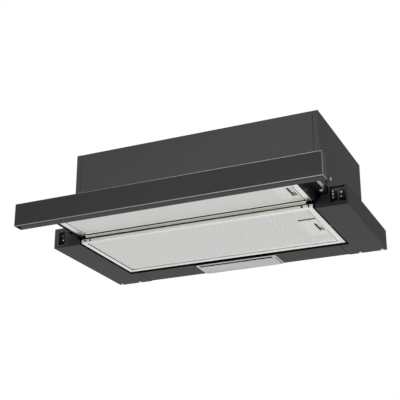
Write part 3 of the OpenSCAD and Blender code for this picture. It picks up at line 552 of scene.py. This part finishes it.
def box_between(shape, low, high, edge=0.0, finish=0):
    """A block between two corners, with its edges rounded."""
    low, high = Vector(low), Vector(high)
    made = bmesh.ops.create_cube(shape, size=1.0)["verts"]
    bmesh.ops.scale(shape, vec=high - low, verts=made)
    bmesh.ops.translate(shape, vec=(high + low) / 2, verts=made)
    for face in {f for v in made for f in v.link_faces}:
        face.material_index = finish
    if edge:
        rounded(shape, list({e for v in made for e in v.link_edges}), edge)


def paint_edge_highlight(shape):
    """Gives the painted highlight to the narrow faces that slope between two square ones."""
    for face in shape.faces:
        if sloping(face):
            face.material_index = edge_highlight_finish


bar_face = powder_coat("smooth_black_lacquer", face_black, face_black_low, 0.5, 0.2)
cap_face = powder_coat("end_cap_powder_coat", cap_black, cap_black_low, 0.45)
# Painted light: the underside is coloured lighter than the face, as if lit from below.
underside_light_coat = powder_coat("bar_underside_painted_light", underside_light, underside_light_low, 0.5)
# The painted highlight: a light metal grey for the chamfered edges.
edge_highlight = plated("edge_painted_highlight", edge_highlight_grey, 0.4, 3.0, 0.1)
inner_front = bar_front + bar_t
inner_low = bar_low + bar_t
inner_top = bar_top - bar_t
shape = bmesh.new()
sheet_between(shape, [[
    (bar_front + bar_edge_low, bar_low), (bar_front, bar_low + bar_edge_low),
    (bar_front, bar_top - bar_edge), (bar_front + bar_edge, bar_top),
    (bar_cap_back, bar_top), (bar_cap_back, inner_top),
    (inner_front + bar_inner_edge, inner_top), (inner_front, inner_top - bar_inner_edge),
    (inner_front, inner_low + bar_inner_edge), (inner_front + bar_inner_edge, inner_low),
    (lip_start, inner_low), (lip_start, bar_low),
]], "x", -bar_x, 2 * bar_x)
shape.normal_update()
# Painted highlight on the bar's chamfers.
paint_edge_highlight(shape)
for face in shape.faces:
    # Painted light on the underside.
    if face.normal.z < -wholly:
        face.material_index = underside_light_finish
    # Painted shade: the inside faces take the matt black.
    if face.normal.y > wholly:
        face.material_index = inside_shade_finish
lap_y = lip_start - lip_lap
side_y = bar_back - lip_lap
# The lip takes the underside's painted light.
sheet_between(shape, [[
    (-bar_x + left_corner_in, lap_y), (bar_x - right_corner_in, lap_y),
    (bar_x - right_corner_mid_in, corner_mid_y), (bar_x, side_y), (bar_x, bar_back),
    (-bar_x, bar_back), (-bar_x, side_y), (-bar_x + left_corner_mid_in, corner_mid_y),
]], "z", bar_low, bar_t, underside_light_finish)
tab_low = bar_low + bar_t / 2
tab_high = bar_top - bar_t / 2
# The end tabs take the painted shade black.
for side in (-1, 1):
    near_x = side * bar_x
    far_x = side * end_tab_in
    sheet_between(shape, [[
        (near_x, tab_low), (far_x, tab_low), (far_x, tab_high), (near_x, tab_high),
    ]], "y", end_tab_y, end_tab_t, inside_shade_finish)
bar_finishes = [bar_face, edge_highlight, underside_light_coat, shade_black_coat]
fit("front_bar_channel", shape, bar_finishes, "tray", "front_bar")

for side, node in ((-1, "left_end_cap"), (1, "right_end_cap")):
    shape = bmesh.new()
    near_x, far_x = sorted((side * (bar_end - bar_t), side * bar_end))
    box_between(shape, (near_x, bar_front, bar_low), (far_x, bar_cap_back, bar_top))
    outer = [
        e for e in shape.edges
        if all(side * v.co.x > bar_end - end_near for v in e.verts)
    ]
    rounded(shape, outer, cap_edge, segments=1)
    shape.normal_update()
    # Painted highlight on the caps' chamfered edges.
    paint_edge_highlight(shape)
    for face in shape.faces:
        # Painted shade: the caps' inside faces take the matt black.
        if side * face.normal.x < -mostly:
            face.material_index = cap_inside_shade_finish
    fit(node + "_plate", shape, [cap_face, edge_highlight, shade_black_coat], "tray", node)


# Both grease filters are cassettes of mill-finish aluminium: a rolled rim with a pressed groove,
# folded shut round the layers of mesh. Bare aluminium, washed often, is soft, pale and satin. The
# grooves, the tabs and the walls are coloured darker as painted shade.
filter_x = 236.5
filter_t = 9.0
main_y = (-141.0, 62.0)
front_y = (-250.0, -142.0)
main_low = -40.0
front_low = -26.2
# Finish indices 1 and 2 are painted shade, dark and pale; 3 is the painted shade black; 4 is the hem's
# metal.
dark_shade = 1
soft_shade = 2
shadowed = 3
hemmed = 4
# Each side: the widths of its flat, its groove and its inner ridge, and its groove's finish.
main_sides = {
    "front": (4.0, 0.9, 0.8, soft_shade), "right": (11.0, 1.0, 0.8, soft_shade),
    "rear": (9.5, 8.5, 0.8, soft_shade), "left": (9.4, 3.0, 1.8, dark_shade),
}
front_sides = {
    "front": (4.5, 1.9, 1.8, dark_shade), "right": (10.0, 1.2, 0.8, soft_shade),
    "rear": (1.8, 7.0, 0.8, dark_shade), "left": (12.3, 1.9, 1.8, dark_shade),
}
left_short = 2.2  # the left end is folded back a little from the hinge tabs
# Each ring of the rim: its step in, its rise, and how many of its side's widths lie outside it.
rim_rings = [
    (0.0, filter_t - 0.6, 0), (0.0, filter_t - 1.5, 0), (0.0, 0.9, 0), (0.3, 0.25, 0), (0.9, 0.0, 0),
    (-0.4, 0.0, 1), (0.0, 0.4, 1), (0.1, 3.4, 1),
    (-0.1, 3.4, 2), (0.0, 0.6, 2), (0.3, 0.25, 2),
    (-0.3, 0.25, 3), (0.0, 0.7, 3), (0.0, 1.6, 3), (0.0, filter_t - 0.8, 3), (-1.0, filter_t, 3),
    (0.6, filter_t, 0),
]
top_edge_ring = 0
groove_rings = (6, 7, 8)
hinge_tab_shares = (0.25, 0.75)
hinge_tab_lap = 2.0
hinge_tab_out = 4.5
hinge_tab_half = 8.0
hinge_tab_corner = 1.0
hinge_tab_rise = 1.8
hinge_tab_t = 0.8
hem_x = 224.5
hem_left_h = 3.3
hem_right_h = 4.4
hem_lap = 0.3
hem_t = 0.8
round_holes = [(-216.0, 2.2), (216.0, 2.2)]
long_holes = [(-230.0, -223.0, 1.1), (227.6, 230.4, 2.2)]
hole_steps = 16
hole_z = -35.0
hole_depth = 2.6
wall_near = 0.1
rim_pale = "#fbfbf8"
dark_shade_grey = "#3a3a37"
soft_shade_beige = "#e2e1db"
hem_pale = "#f4f2e8"
strip_cloud_mm = 40.0
strip_line_mm = 1.0
along_x = (0.15, 1.0, 1.0)
far_along_x = (0.02, 1.0, 1.0)


def mill_aluminium(name, colour, rough, grain):
    """Rolled aluminium: a near white metal with fine drawn lines along the strip."""
    finish = new_finish(name)
    place = add(finish, "TexCoord").outputs["Object"]
    run = add(finish, "Mapping", {"Vector": place, "Scale": grain})
    line = add(finish, "TexNoise", {
        "Vector": run.outputs["Vector"], "Scale": per_mm(strip_line_mm), "Detail": 3.0,
    })
    cloud = add(finish, "TexNoise", {"Vector": place, "Scale": per_mm(strip_cloud_mm), "Detail": 2.0})
    tone = add(finish, "MapRange", {"Value": cloud.outputs["Fac"], "To Min": 0.93, "To Max": 1.05})
    shade = add(finish, "HueSaturation", {"Value": tone.outputs["Result"], "Color": linear(colour)})
    gloss = add(finish, "MapRange", {
        "Value": line.outputs["Fac"], "To Min": rough - 0.08, "To Max": rough + 0.1,
    })
    skin = add(finish, "Bump", {"Height": line.outputs["Fac"], "Strength": 0.12, "Distance": 0.0001})
    shader = add(finish, "BsdfPrincipled", {
        "Base Color": shade.outputs["Color"], "Metallic": 1.0, "Roughness": gloss.outputs["Result"],
        "Normal": skin.outputs["Normal"],
    })
    add(finish, "OutputMaterial", {"Surface": shader.outputs["BSDF"]})
    return finish


def ring_of(shape, loops, finishes=None):
    """A closed tube round a ring: each loop of points is joined to the next, the last to the first."""
    loops = [[shape.verts.new(point) for point in loop] for loop in loops]
    for n, (near, far) in enumerate(zip(loops, loops[1:] + loops[:1])):
        for i in range(len(near)):
            k = (i + 1) % len(near)
            face = shape.faces.new((near[i], near[k], far[k], far[i]))
            face.material_index = (finishes or {}).get(n, [0] * len(near))[i]
    bmesh.ops.recalc_face_normals(shape, faces=shape.faces)


def pierced(shape, face, outlines, depth, finish):
    """Sinks pockets of the given outlines into a flat face."""
    inwards = -depth * face.normal
    edges = list(face.edges)
    shape.faces.remove(face)
    for outline in outlines:
        near = [shape.verts.new(point) for point in outline]
        far = [shape.verts.new(point + inwards) for point in outline]
        for i in range(len(near)):
            k = (i + 1) % len(near)
            edges.append(shape.edges.new((near[i], near[k])))
            shape.faces.new((near[i], near[k], far[k], far[i])).material_index = finish
        shape.faces.new(far).material_index = finish
    bmesh.ops.triangle_fill(shape, use_beauty=True, edges=edges, normal=-inwards)
    bmesh.ops.recalc_face_normals(shape, faces=shape.faces)


def cassette(y, low, sides):
    """The rim of one filter, with a rolled outer edge, the groove, the ridge and the tabs."""
    around = [sides[side] for side in ("front", "right", "rear", "left")]
    loops = []
    for step, rise, count in rim_rings:
        front, right, rear, left = [step + sum(side[:count]) for side in around]
        x_low = left_short - filter_x + left
        x_high = filter_x - right
        y_low = y[0] + front
        y_high = y[1] - rear
        z = low + rise
        loops.append([(x_low, y_low, z), (x_high, y_low, z), (x_high, y_high, z), (x_low, y_high, z)])
    grooved = [side[3] for side in around]
    finishes = {n: grooved for n in groove_rings}
    finishes[top_edge_ring] = [shadowed] * len(around)
    shape = bmesh.new()
    ring_of(shape, loops, finishes)
    lap_x = hinge_tab_lap - filter_x
    end_x = -filter_x - hinge_tab_out
    corner_x = end_x + hinge_tab_corner
    for share in hinge_tab_shares:
        middle_y = y[0] + (y[1] - y[0]) * share
        near_y = middle_y - hinge_tab_half
        far_y = middle_y + hinge_tab_half
        # The hinge tabs take the dark painted shade.
        sheet_between(shape, [[
            (lap_x, near_y), (corner_x, near_y), (end_x, near_y + hinge_tab_corner),
            (end_x, far_y - hinge_tab_corner), (corner_x, far_y), (lap_x, far_y),
        ]], "z", low + hinge_tab_rise, hinge_tab_t, dark_shade)
    return shape


# The groove and wall metals are painted shade, dark grey and pale beige.
rim_metal = mill_aluminium("mill_aluminium", rim_pale, 0.28, along_x)
dark_shade_metal = mill_aluminium("groove_painted_dark_shade", dark_shade_grey, 0.6, along_x)
soft_shade_metal = mill_aluminium("rim_painted_soft_shade", soft_shade_beige, 0.5, along_x)
hem_metal = mill_aluminium("brushed_hem_metal", hem_pale, 0.7, far_along_x)
rim_finishes = [rim_metal, dark_shade_metal, soft_shade_metal, shade_black_coat]

shape = cassette(main_y, main_low, main_sides)
outlines = []
for x, radius in round_holes:
    turns = [2 * math.pi * k / hole_steps for k in range(hole_steps)]
    outlines.append([
        Vector((x + radius * math.cos(t), main_y[0], hole_z + radius * math.sin(t))) for t in turns
    ])
for x0, x1, half in long_holes:
    corners = ((x0, -half), (x1, -half), (x1, half), (x0, half))
    outlines.append([Vector((x, main_y[0], hole_z + z)) for x, z in corners])
shape.normal_update()
front_wall = max((f for f in shape.faces if f.normal.y < -wholly), key=lambda f: f.calc_area())
pierced(shape, front_wall, outlines, hole_depth, shadowed)
for face in shape.faces:
    on_wall = face.normal.y < -wholly and face.calc_center_median().y < main_y[0] + wall_near
    # Painted shade: the bare faces of the front wall take the paler shade metal.
    if on_wall and face.material_index == 0:
        face.material_index = soft_shade
fit("main_filter_rim", shape, rim_finishes, "main_filter", "main_filter_frame")

shape = cassette(front_y, front_low, front_sides)
sheet_between(shape, [[
    (-hem_x, front_low - hem_left_h), (hem_x, front_low - hem_right_h), (hem_x, front_low + hem_lap),
    (-hem_x, front_low + hem_lap),
]], "y", front_y[1] - hem_t, hem_t, hemmed)
fit(
    "front_filter_rim", shape, rim_finishes + [hem_metal], "front_filter",
    "front_filter_frame",
)


# The filter medium is stacked layers of expanded aluminium mesh. The lowest layer shows: a fine
# diamond net, waved across the hood so that the layers stand apart. It is cut away over the latch
# plates.
diamond = 3.7  # real diamonds are near 1.5 x 3 mm, drawn coarser so that they show
diamond_lean = math.radians(45)
wave_mm = 10.0
wave_lean = math.radians(14)
main_wave_h = 0.5
front_wave_h = 0.35
wave_per_mm = 314.16  # the scale at which a wave texture repeats once in a millimetre
cell_x = 1.55
cell_y = 6.0
net_rise = 1.1
net_t = 0.35
net_tuck = 0.5
net_cloud_mm = 45.0
# The latch plates' left, right, front and rear.
main_plate = (190.0, 224.4, -85.0, 1.0)
front_plate = (190.0, 225.2, -239.0, -150.6)
cut_left = 2
cut_front = 4
cut_rear = 6
mesh_pale = "#f4f4f3"
mesh_dark = "#d8d8d6"
front_mesh_dark = "#e6e6e4"
fold_highlight_white = "#ffffff"


def expanded_mesh(name, pale, dark, fold_highlight_share):
    """Expanded aluminium: a net of bright diamonds, with a painted highlight along the folds of its waves.
    """
    finish = new_finish(name)
    place = add(finish, "TexCoord").outputs["Object"]
    pitch = diamond * math.cos(diamond_lean)
    bands = []
    for turn, size, rough in (
        (diamond_lean, pitch, 0.3), (-diamond_lean, pitch, 0.3), (wave_lean, wave_mm, 0.25),
    ):
        turned = add(finish, "Mapping", {"Vector": place, "Rotation": (0, 0, -turn)})
        band = add(finish, "TexWave", {
            "Vector": turned.outputs["Vector"], "Scale": wave_per_mm / size, "Distortion": rough,
            "Detail": 1.0, "Detail Scale": 0.3, "Phase Offset": math.pi / 2,
        }, wave_type="BANDS", bands_direction="X")
        bands.append(band.outputs["Fac"])
    net = add(finish, "Math", {0: bands[0], 1: bands[1]}, operation="MAXIMUM")
    colour = add(finish, "ValToRGB", {"Fac": net.outputs["Value"]})
    colour.color_ramp.elements[0].color = linear(dark)
    colour.color_ramp.elements[1].color = linear(pale)
    # Painted highlight: white is mixed in along the wave crests, patched by the clouds.
    crest = add(finish, "Math", {0: bands[2], 1: 9.0}, operation="POWER")
    cloud = add(finish, "TexNoise", {"Vector": place, "Scale": per_mm(net_cloud_mm), "Detail": 2.0})
    some = add(finish, "Math", {0: crest.outputs["Value"], 1: cloud.outputs["Fac"]}, operation="MULTIPLY")
    share = add(finish, "Math", {0: some.outputs["Value"], 1: fold_highlight_share}, operation="MULTIPLY")
    fold_highlit = add(finish, "Mix", {
        "Factor": share.outputs["Value"], "A": colour.outputs["Color"], "B": linear(fold_highlight_white),
    }, data_type="RGBA")
    skin = add(finish, "Bump", {"Height": net.outputs["Value"], "Strength": 0.3, "Distance": 0.0003})
    shader = add(finish, "BsdfPrincipled", {
        "Base Color": fold_highlit.outputs["Result"], "Metallic": 0.75, "Roughness": 0.55,
        "Normal": skin.outputs["Normal"],
    })
    add(finish, "OutputMaterial", {"Surface": shader.outputs["BSDF"]})
    return finish


def inside(y, sides):
    """The area of mesh that shows inside a rim, tucked under its ridge."""
    widths = {side: sum(values[:3]) - net_tuck for side, values in sides.items()}
    return (
        left_short - filter_x + widths["left"], filter_x - widths["right"],
        y[0] + widths["front"], y[1] - widths["rear"],
    )


def waved_net(name, body, area, low, plate, wave_h, finish):
    """One layer of mesh inside a rim, waved, and cut away over the latch plate."""
    x0, x1, y0, y1 = area
    left, right, front, rear = plate
    columns = int((x1 - x0) / cell_x)
    rows = int((y1 - y0) / cell_y)
    shape = bmesh.new()
    bmesh.ops.create_grid(shape, x_segments=columns, y_segments=rows, size=0.5)
    bmesh.ops.scale(shape, vec=(x1 - x0, y1 - y0, 1), verts=shape.verts)
    bmesh.ops.translate(shape, vec=((x0 + x1) / 2, (y0 + y1) / 2, low + net_rise), verts=shape.verts)
    for v in shape.verts:
        across = v.co.x * math.cos(wave_lean) + v.co.y * math.sin(wave_lean)
        v.co.z += wave_h * abs(math.sin(math.pi * across / wave_mm))
    over_plate = []
    for face in shape.faces:
        middle = face.calc_center_median()
        if left + cut_left < middle.x < right and front - cut_front < middle.y < rear - cut_rear:
            over_plate.append(face)
    bmesh.ops.delete(shape, geom=over_plate, context="FACES")
    bmesh.ops.solidify(shape, geom=shape.faces, thickness=net_t)
    fit(name, shape, [finish], body, name.replace("net", "mesh"))


main_mesh = expanded_mesh("folded_aluminium_mesh", mesh_pale, mesh_dark, 0.7)
front_mesh = expanded_mesh("flat_aluminium_mesh", mesh_pale, front_mesh_dark, 0.0)
for name, body, y, sides, low, plate, wave_h, finish in (
    ("main_filter_net", "main_filter", main_y, main_sides, main_low, main_plate, main_wave_h, main_mesh),
    (
        "front_filter_net", "front_filter", front_y, front_sides, front_low, front_plate, front_wave_h,
        front_mesh,
    ),
):
    waved_net(name, body, inside(y, sides), low, plate, wave_h, finish)


# A plate of the same aluminium is riveted over the mesh at the right end of each filter. It is
# pressed out into a rounded rim round the finger window, and the latch slides behind it. A dark
# strip ahead of the plate, between it and the mesh, is painted shade.
plate_pale = "#f6f6f2"
along_y = (1.0, 0.15, 1.0)
plate_rise = 0.3
plate_t = 0.8
# The finger windows' left, right, front and rear.
main_window = (212.5, 222.5, -63.0, -23.0)
front_window = (212.5, 222.5, -216.0, -176.0)
pressed_corner = 1
pressed_out = 3.2
pressed_half = 1.1
pressed_h = 0.7
pressed_rise = 0.35
pressed_middle = 4
corner_steps = 4
arch_steps = 6
gap_wide = 4
gap_clear = 0.4
gap_rise = 0.5
gap_t = 0.5
gap_shade_finish = 1


def latch_plate(name, body, plate, low, window):
    """The plate with its finger window, the pressed rim round the window, and a painted shade strip in the
    gap ahead.
    """
    x0, x1, y0, y1 = plate
    wx0, wx1, wy0, wy1 = window
    shape = bmesh.new()
    sheet_between(shape, [
        [(x0, y0), (x1, y0), (x1, y1), (x0, y1)],
        [(wx0, wy0), (wx1, wy0), (wx1, wy1), (wx0, wy1)],
    ], "z", low + plate_rise, plate_t)
    left = wx0 + pressed_corner
    right = wx1 - pressed_corner
    front = wy0 + pressed_corner
    rear = wy1 - pressed_corner
    path = []
    for x, y, start in ((right, rear, 0), (left, rear, 90), (left, front, 180), (right, front, 270)):
        for k in range(corner_steps + 1):
            turn = math.radians(start + 90 * k / corner_steps)
            path.append(Vector((x, y, 0)) + pressed_out * Vector((math.cos(turn), math.sin(turn), 0)))
    middle = [
        Vector(((wx0 + wx1) / 2, min(max(p.y, wy0 + pressed_middle), wy1 - pressed_middle), 0))
        for p in path
    ]
    loops = []
    for k in range(arch_steps + 1):
        turn = math.pi * k / arch_steps
        out = pressed_half * math.cos(turn)
        fall = Vector((0, 0, low + pressed_rise - pressed_h * math.sin(turn)))
        loops.append([p + out * (p - m).normalized() + fall for p, m in zip(path, middle)])
    ring_of(shape, loops)
    # Painted shade: a dark strip in the gap ahead of the plate.
    gap_front = y0 - gap_wide
    gap_rear = y0 - gap_clear
    gap_right = x1 + gap_wide
    sheet_between(shape, [[
        (x0, gap_front), (gap_right, gap_front), (gap_right, gap_rear), (x0, gap_rear),
    ]], "z", low + gap_rise, gap_t, gap_shade_finish)
    node = name.replace("cover", "plate")
    fit(name, shape, [plate_metal, dark_shade_metal], body, node, smooth=40)


plate_metal = mill_aluminium("latch_plate_aluminium", plate_pale, 0.42, along_y)
latch_plate("main_latch_cover", "main_filter", main_plate, main_low, main_window)
latch_plate("front_latch_cover", "front_filter", front_plate, front_low, front_window)


# The latch is a grey moulding with a pale finger plate let into the window. A thumb pushes the
# grey tab inwards and draws the bolt out of the wing, or out of the tray's wall.
tab_grey = "#8b8e88"
finger_pale = "#d6d6d1"
finger_finish = 1
# Each block's low and high corners, from the window's low corner and from its high one.
latch_blocks = [
    ((3.3, 0.3, 0.8), (-0.3, -0.3, 2.0), finger_finish),
    ((4.0, -2.0, 1.9), (-1.0, 2.0, 4.6), 0),
    ((3.4, 24.0, -0.1), (-0.4, -0.4, 1.0), 0),
]
latch_edge = 0.25
bolt_r = 2.0
bolt_in = 8.0
bolt_end = 240.9
bolt_rise = 4.6
main_bolt_y = -32.0
front_bolt_y = -185.0


def latch(name, body, low, window, bolt_y):
    """The finger plate, its carrier, the tab and the bolt."""
    wx0, wx1, wy0, wy1 = window
    shape = bmesh.new()
    for near, far, finish in latch_blocks:
        near_corner = Vector((wx0, wy0, low)) + Vector(near)
        far_corner = Vector((wx1, wy1, low)) + Vector(far)
        box_between(shape, near_corner, far_corner, latch_edge, finish)
    bolt_z = low + bolt_rise
    rod(shape, (wx1 - bolt_in, bolt_y, bolt_z), (bolt_end, bolt_y, bolt_z), bolt_r)
    node = name.replace("slide", "latch")
    fit(name, shape, [tab_plastic, finger_plastic], body, node, smooth=40)


tab_plastic = moulded("grey_latch_moulding", tab_grey, 0.45, 0.8, 0.2)
finger_plastic = moulded("pale_finger_plate", finger_pale, 0.4, 0.8, 0.15)
latch("main_slide", "main_catch", main_low, main_window, main_bolt_y)
latch("front_slide", "front_catch", front_low, front_window, front_bolt_y)


# The lamp sits in a silver-grey moulded bezel between the strips, with a white bead along its
# left edge that is a painted highlight. Its lens is a tray of clear styrene with a ribbed back; it
# hangs on its rear edge, and a slot ahead of it takes a finger and shows the housing's inside,
# coloured black as painted shade.
bezel_silver = "#c9cacc"
lens_pale = "#c4c4c7"
bead_highlight_white = "#fbfbfb"
lamp_x0 = -90.0
lamp_x1 = 85.0
lamp_y0 = 80.0
lamp_y1 = 137.0
bezel_low = -40.4
bezel_t = 1.2
bezel_edge = 0.3
bezel_fold_angle = 1.0
bead_wide = 1.5
bead_short = 0.5
bead_low = -41.1
bead_high = -40.2
bead_edge = 0.4
bead_highlight_finish = 1
lens_x0 = -85.0
lens_x1 = 80.0
lens_y0 = 91.5
lens_y1 = 135.5
lens_gap = 1
slot_y = 84.0
slot_x1 = 75.0
lens_low = -41.6
lens_t = 1.5
lens_edge = 0.5
lens_wall_low = 0.4
lens_wall_high = 2.4
lens_wall_edge = 0.2
lens_pips = [(56.0, 117.4), (-69.5, 118.2)]
pip_r = 1.4
pip_in = 0.5
pip_out = 0.15
rib_mm = 2.6
streak_mm = 14.0
streak_along_x = (0.12, 1.0, 1.0)


def ribbed_lens(name, colour):
    """Ribbed clear styrene over a bright box: pale, streaked along its ribs, and glossy."""
    finish = new_finish(name)
    place = add(finish, "TexCoord").outputs["Object"]
    run = add(finish, "Mapping", {"Vector": place, "Scale": streak_along_x})
    streak = add(finish, "TexNoise", {
        "Vector": run.outputs["Vector"], "Scale": per_mm(streak_mm), "Detail": 4.0,
    })
    rib = add(finish, "TexWave", {
        "Vector": place, "Scale": wave_per_mm / rib_mm, "Distortion": 0.3,
    }, wave_type="BANDS", bands_direction="Y")
    tone = add(finish, "MapRange", {"Value": streak.outputs["Fac"], "To Min": 0.82, "To Max": 1.12})
    shade = add(finish, "HueSaturation", {"Value": tone.outputs["Result"], "Color": linear(colour)})
    skin = add(finish, "Bump", {"Height": rib.outputs["Fac"], "Strength": 0.25, "Distance": 0.0003})
    shader = add(finish, "BsdfPrincipled", {
        "Base Color": shade.outputs["Color"], "Roughness": 0.22, "Normal": skin.outputs["Normal"],
        "IOR": 1.59, "Coat Weight": 0.3, "Coat Roughness": 0.08,
    })
    add(finish, "OutputMaterial", {"Surface": shader.outputs["BSDF"]})
    return finish


silver = moulded("silver_grey_moulding", bezel_silver, 0.35, 0.8, 0.15)
bead_highlight = moulded("bezel_bead_painted_highlight", bead_highlight_white, 0.25, 0.8, 0.1)
open_left = lens_x0 - lens_gap
open_right = lens_x1 + lens_gap
open_rear = lamp_y1 - lens_gap
shape = bmesh.new()
sheet_between(shape, [
    [(lamp_x0, lamp_y0), (lamp_x1, lamp_y0), (lamp_x1, lamp_y1), (lamp_x0, lamp_y1)],
    [
        (open_left, slot_y), (slot_x1, slot_y), (slot_x1, lens_y0), (open_right, lens_y0),
        (open_right, open_rear), (open_left, open_rear),
    ],
], "z", bezel_low, bezel_t)
outer = [e for e in shape.edges if len(e.link_faces) == 2 and e.calc_face_angle(0) > bezel_fold_angle]
rounded(shape, outer, bezel_edge)
# Painted highlight: a white bead on the bezel's left edge.
bead_near = (lamp_x0, lamp_y0 + bead_short, bead_low)
bead_far = (lamp_x0 + bead_wide, lamp_y1 - bead_short, bead_high)
box_between(shape, bead_near, bead_far, bead_edge, bead_highlight_finish)
fit("lamp_bezel_moulding", shape, [silver, bead_highlight], "hood", "lamp_bezel")

lens_clear = ribbed_lens("ribbed_styrene", lens_pale)
shape = bmesh.new()
box_between(shape, (lens_x0, lens_y0, lens_low), (lens_x1, lens_y1, lens_low + lens_t), lens_edge)
for x in (lens_x0, lens_x1 - lens_t):
    wall_near_end = (x, lens_y0, lens_low + lens_wall_low)
    wall_far_end = (x + lens_t, lens_y1, lens_low + lens_wall_high)
    box_between(shape, wall_near_end, wall_far_end, lens_wall_edge)
for x, y in lens_pips:
    rod(shape, (x, y, lens_low + pip_in), (x, y, lens_low - pip_out), pip_r)
fit("lamp_lens_tray", shape, [lens_clear], "lens", "lamp_lens", smooth=40)

# Painted shade: the housing takes the matt black, so the slot ahead of the lens looks dark.
cad["lamp_housing"].data.materials.clear()
cad["lamp_housing"].data.materials.append(shade_black_coat)


# Each wing's front carries a recessed switch moulding of fine matt ABS, clipped into the plate.
# Its rockers are shallow V-shaped keys of darker ABS with pad-printed white marks: a dot, rings,
# strokes for one, nought and two, and a lamp sign.
abs_black = "#1f1f21"
key_black = "#101011"
key_black_low = "#0b0b0c"
print_white = "#f4f4f2"
housing_fold = 0.25
key_fold = 0.3
flat_facing = 0.6
flat_area = 30
oval_steps = 24
ink_in = 0.02
ink_t = 0.12
ink_finish = 1


def oval(wide, high, rise=0.0):
    """The outline of an oval about the middle of a mark."""
    turns = [2 * math.pi * k / oval_steps for k in range(oval_steps)]
    return [(wide * math.cos(t), rise + high * math.sin(t)) for t in turns]


marks_drawn = {
    "dot": [[oval(1.2, 1.2)]],
    "small": [[oval(0.8, 0.8), oval(0.5, 0.5)]],
    "ring": [[oval(1.5, 1.5), oval(0.9, 0.9)]],
    "one": [[[(-0.3, -1.7), (0.3, -1.7), (0.3, 1.7), (-0.9, 1.0), (-0.7, 0.6), (-0.3, 0.8)]]],
    "nought": [[oval(1.3, 1.8), oval(0.7, 1.2)]],
    "two": [[[
        (-1.2, -1.7), (1.2, -1.7), (1.2, -1.1), (-0.3, -1.1), (1.2, 0.5), (1.2, 1.3), (0.7, 1.7),
        (-0.7, 1.7), (-1.2, 1.2), (-1.2, 0.8), (-0.6, 0.8), (-0.3, 1.1), (0.4, 1.1), (0.6, 0.7),
        (-1.2, -1.2),
    ]]],
    "lamp": [
        [oval(1.5, 1.5, 0.5), oval(1.0, 1.0, 0.5)],
        [[(-0.8, -1.9), (0.8, -1.9), (0.8, -1.3), (-0.8, -1.3)]],
    ],
}


def mark(shape, x, z, kind):
    """Prints a mark, a hair proud, on the flat of a key that lies nearest to a height."""
    flats = [f for f in shape.faces if f.normal.y < -flat_facing and f.calc_area() > flat_area]
    flat = min(flats, key=lambda f: abs(f.calc_center_median().z - z))
    centre, normal = flat.calc_center_median(), flat.normal.copy()
    y = centre.y - ((x - centre.x) * normal.x + (z - centre.z) * normal.z) / normal.y
    ink = bmesh.new()
    for outlines in marks_drawn[kind]:
        sheet_between(ink, outlines, "z", -ink_in, ink_t, ink_finish)
    turn = normal.to_track_quat("Z", "Y").to_matrix().to_4x4()
    bmesh.ops.transform(ink, matrix=Matrix.Translation((x, y, z)) @ turn, verts=ink.verts)
    merge(shape, ink)


matt_abs = moulded("matt_black_abs", abs_black, 0.5, 0.6, 0.3)
key_abs = powder_coat("satin_black_abs", key_black, key_black_low, 0.5, 0.15)
print_ink = moulded("pad_printed_white", print_white, 0.5, 0.6, 0.1)
for node in ("left_switch_housing", "right_switch_housing"):
    fit(node + "_moulding", folded(node, housing_fold), [matt_abs], "hood", node)
for node, body, marks in (
    ("left_rocker", "left_key", [(-281.0, -24.4, "dot"), (-282.5, -15.5, "small")]),
    ("speed_rocker", "speed_key", [(272.4, -11.6, "one"), (272.4, -16.8, "nought"), (272.4, -22.8, "two")]),
    ("light_rocker", "light_key", [(287.6, -14.6, "lamp"), (287.6, -23.4, "ring")]),
):
    shape = folded(node, key_fold)
    bmesh.ops.recalc_face_normals(shape, faces=shape.faces)
    for x, z, kind in marks:
        shape.normal_update()
        mark(shape, x, z, kind)
    fit(node + "_key", shape, [key_abs, print_ink], body, node)


# The duct collar stands on the casing's top by its flange and carries two flaps. All three are
# moulded black polypropylene, and so is the gland for the mains cable, with its nut inside.
collar_black = "#232325"
collar_fold = 0.3
polypropylene = moulded("black_polypropylene", collar_black, 0.42, 1.2, 0.25)
for node, body in (
    ("duct_collar", "hood"), ("left_flap", "left_damper"), ("right_flap", "right_damper"),
    ("cable_gland", "hood"),
):
    shape = folded(node, collar_fold)
    fit(node + "_moulding", shape, [polypropylene], body, node, smooth=30)


# The blower is a split scroll of dark polypropylene with a bladed wheel. Its motor hangs in the
# inlet on a zinc plated spider; the terminal box, the capacitor and the wires sit beside it. These
# pieces keep the shapes of the solids and take their finishes here.
inner_finishes = {
    "scroll_left_half": moulded("dark_scroll_moulding", "#3a3a3d", 0.5, 1.5, 0.3),
    "blower_wheel": moulded("black_wheel_moulding", "#2c2c2f", 0.45, 1.0, 0.2),
    "motor": powder_coat("grey_motor_enamel", "#8f9398", "#7f8388", 0.4),
    "motor_shaft": plated("ground_steel", "#b4b8bc", 0.25, 3.0, 0.05),
    "capacitor": moulded("black_capacitor_shell", "#18181a", 0.5, 1.0, 0.1),
    "terminal_box": moulded("pale_grey_abs", "#d9d9d4", 0.45, 1.0, 0.15),
    "wiring_loom": moulded("grey_pvc_sleeve", "#5c5d60", 0.5, 0.8, 0.3),
    "lamp_holder": moulded("white_porcelain", "#efede6", 0.2, 2.0, 0.05),
    "lamp_bulb": moulded("opal_glass", "#f4f2ea", 0.12, 4.0, 0.02),
    "motor_spider": zinc,
}
inner_finishes["scroll_right_half"] = inner_finishes["scroll_left_half"]
inner_finishes["terminal_lid"] = inner_finishes["terminal_box"]
for node, finish in inner_finishes.items():
    cad[node].data.materials.clear()
    cad[node].data.materials.append(finish)
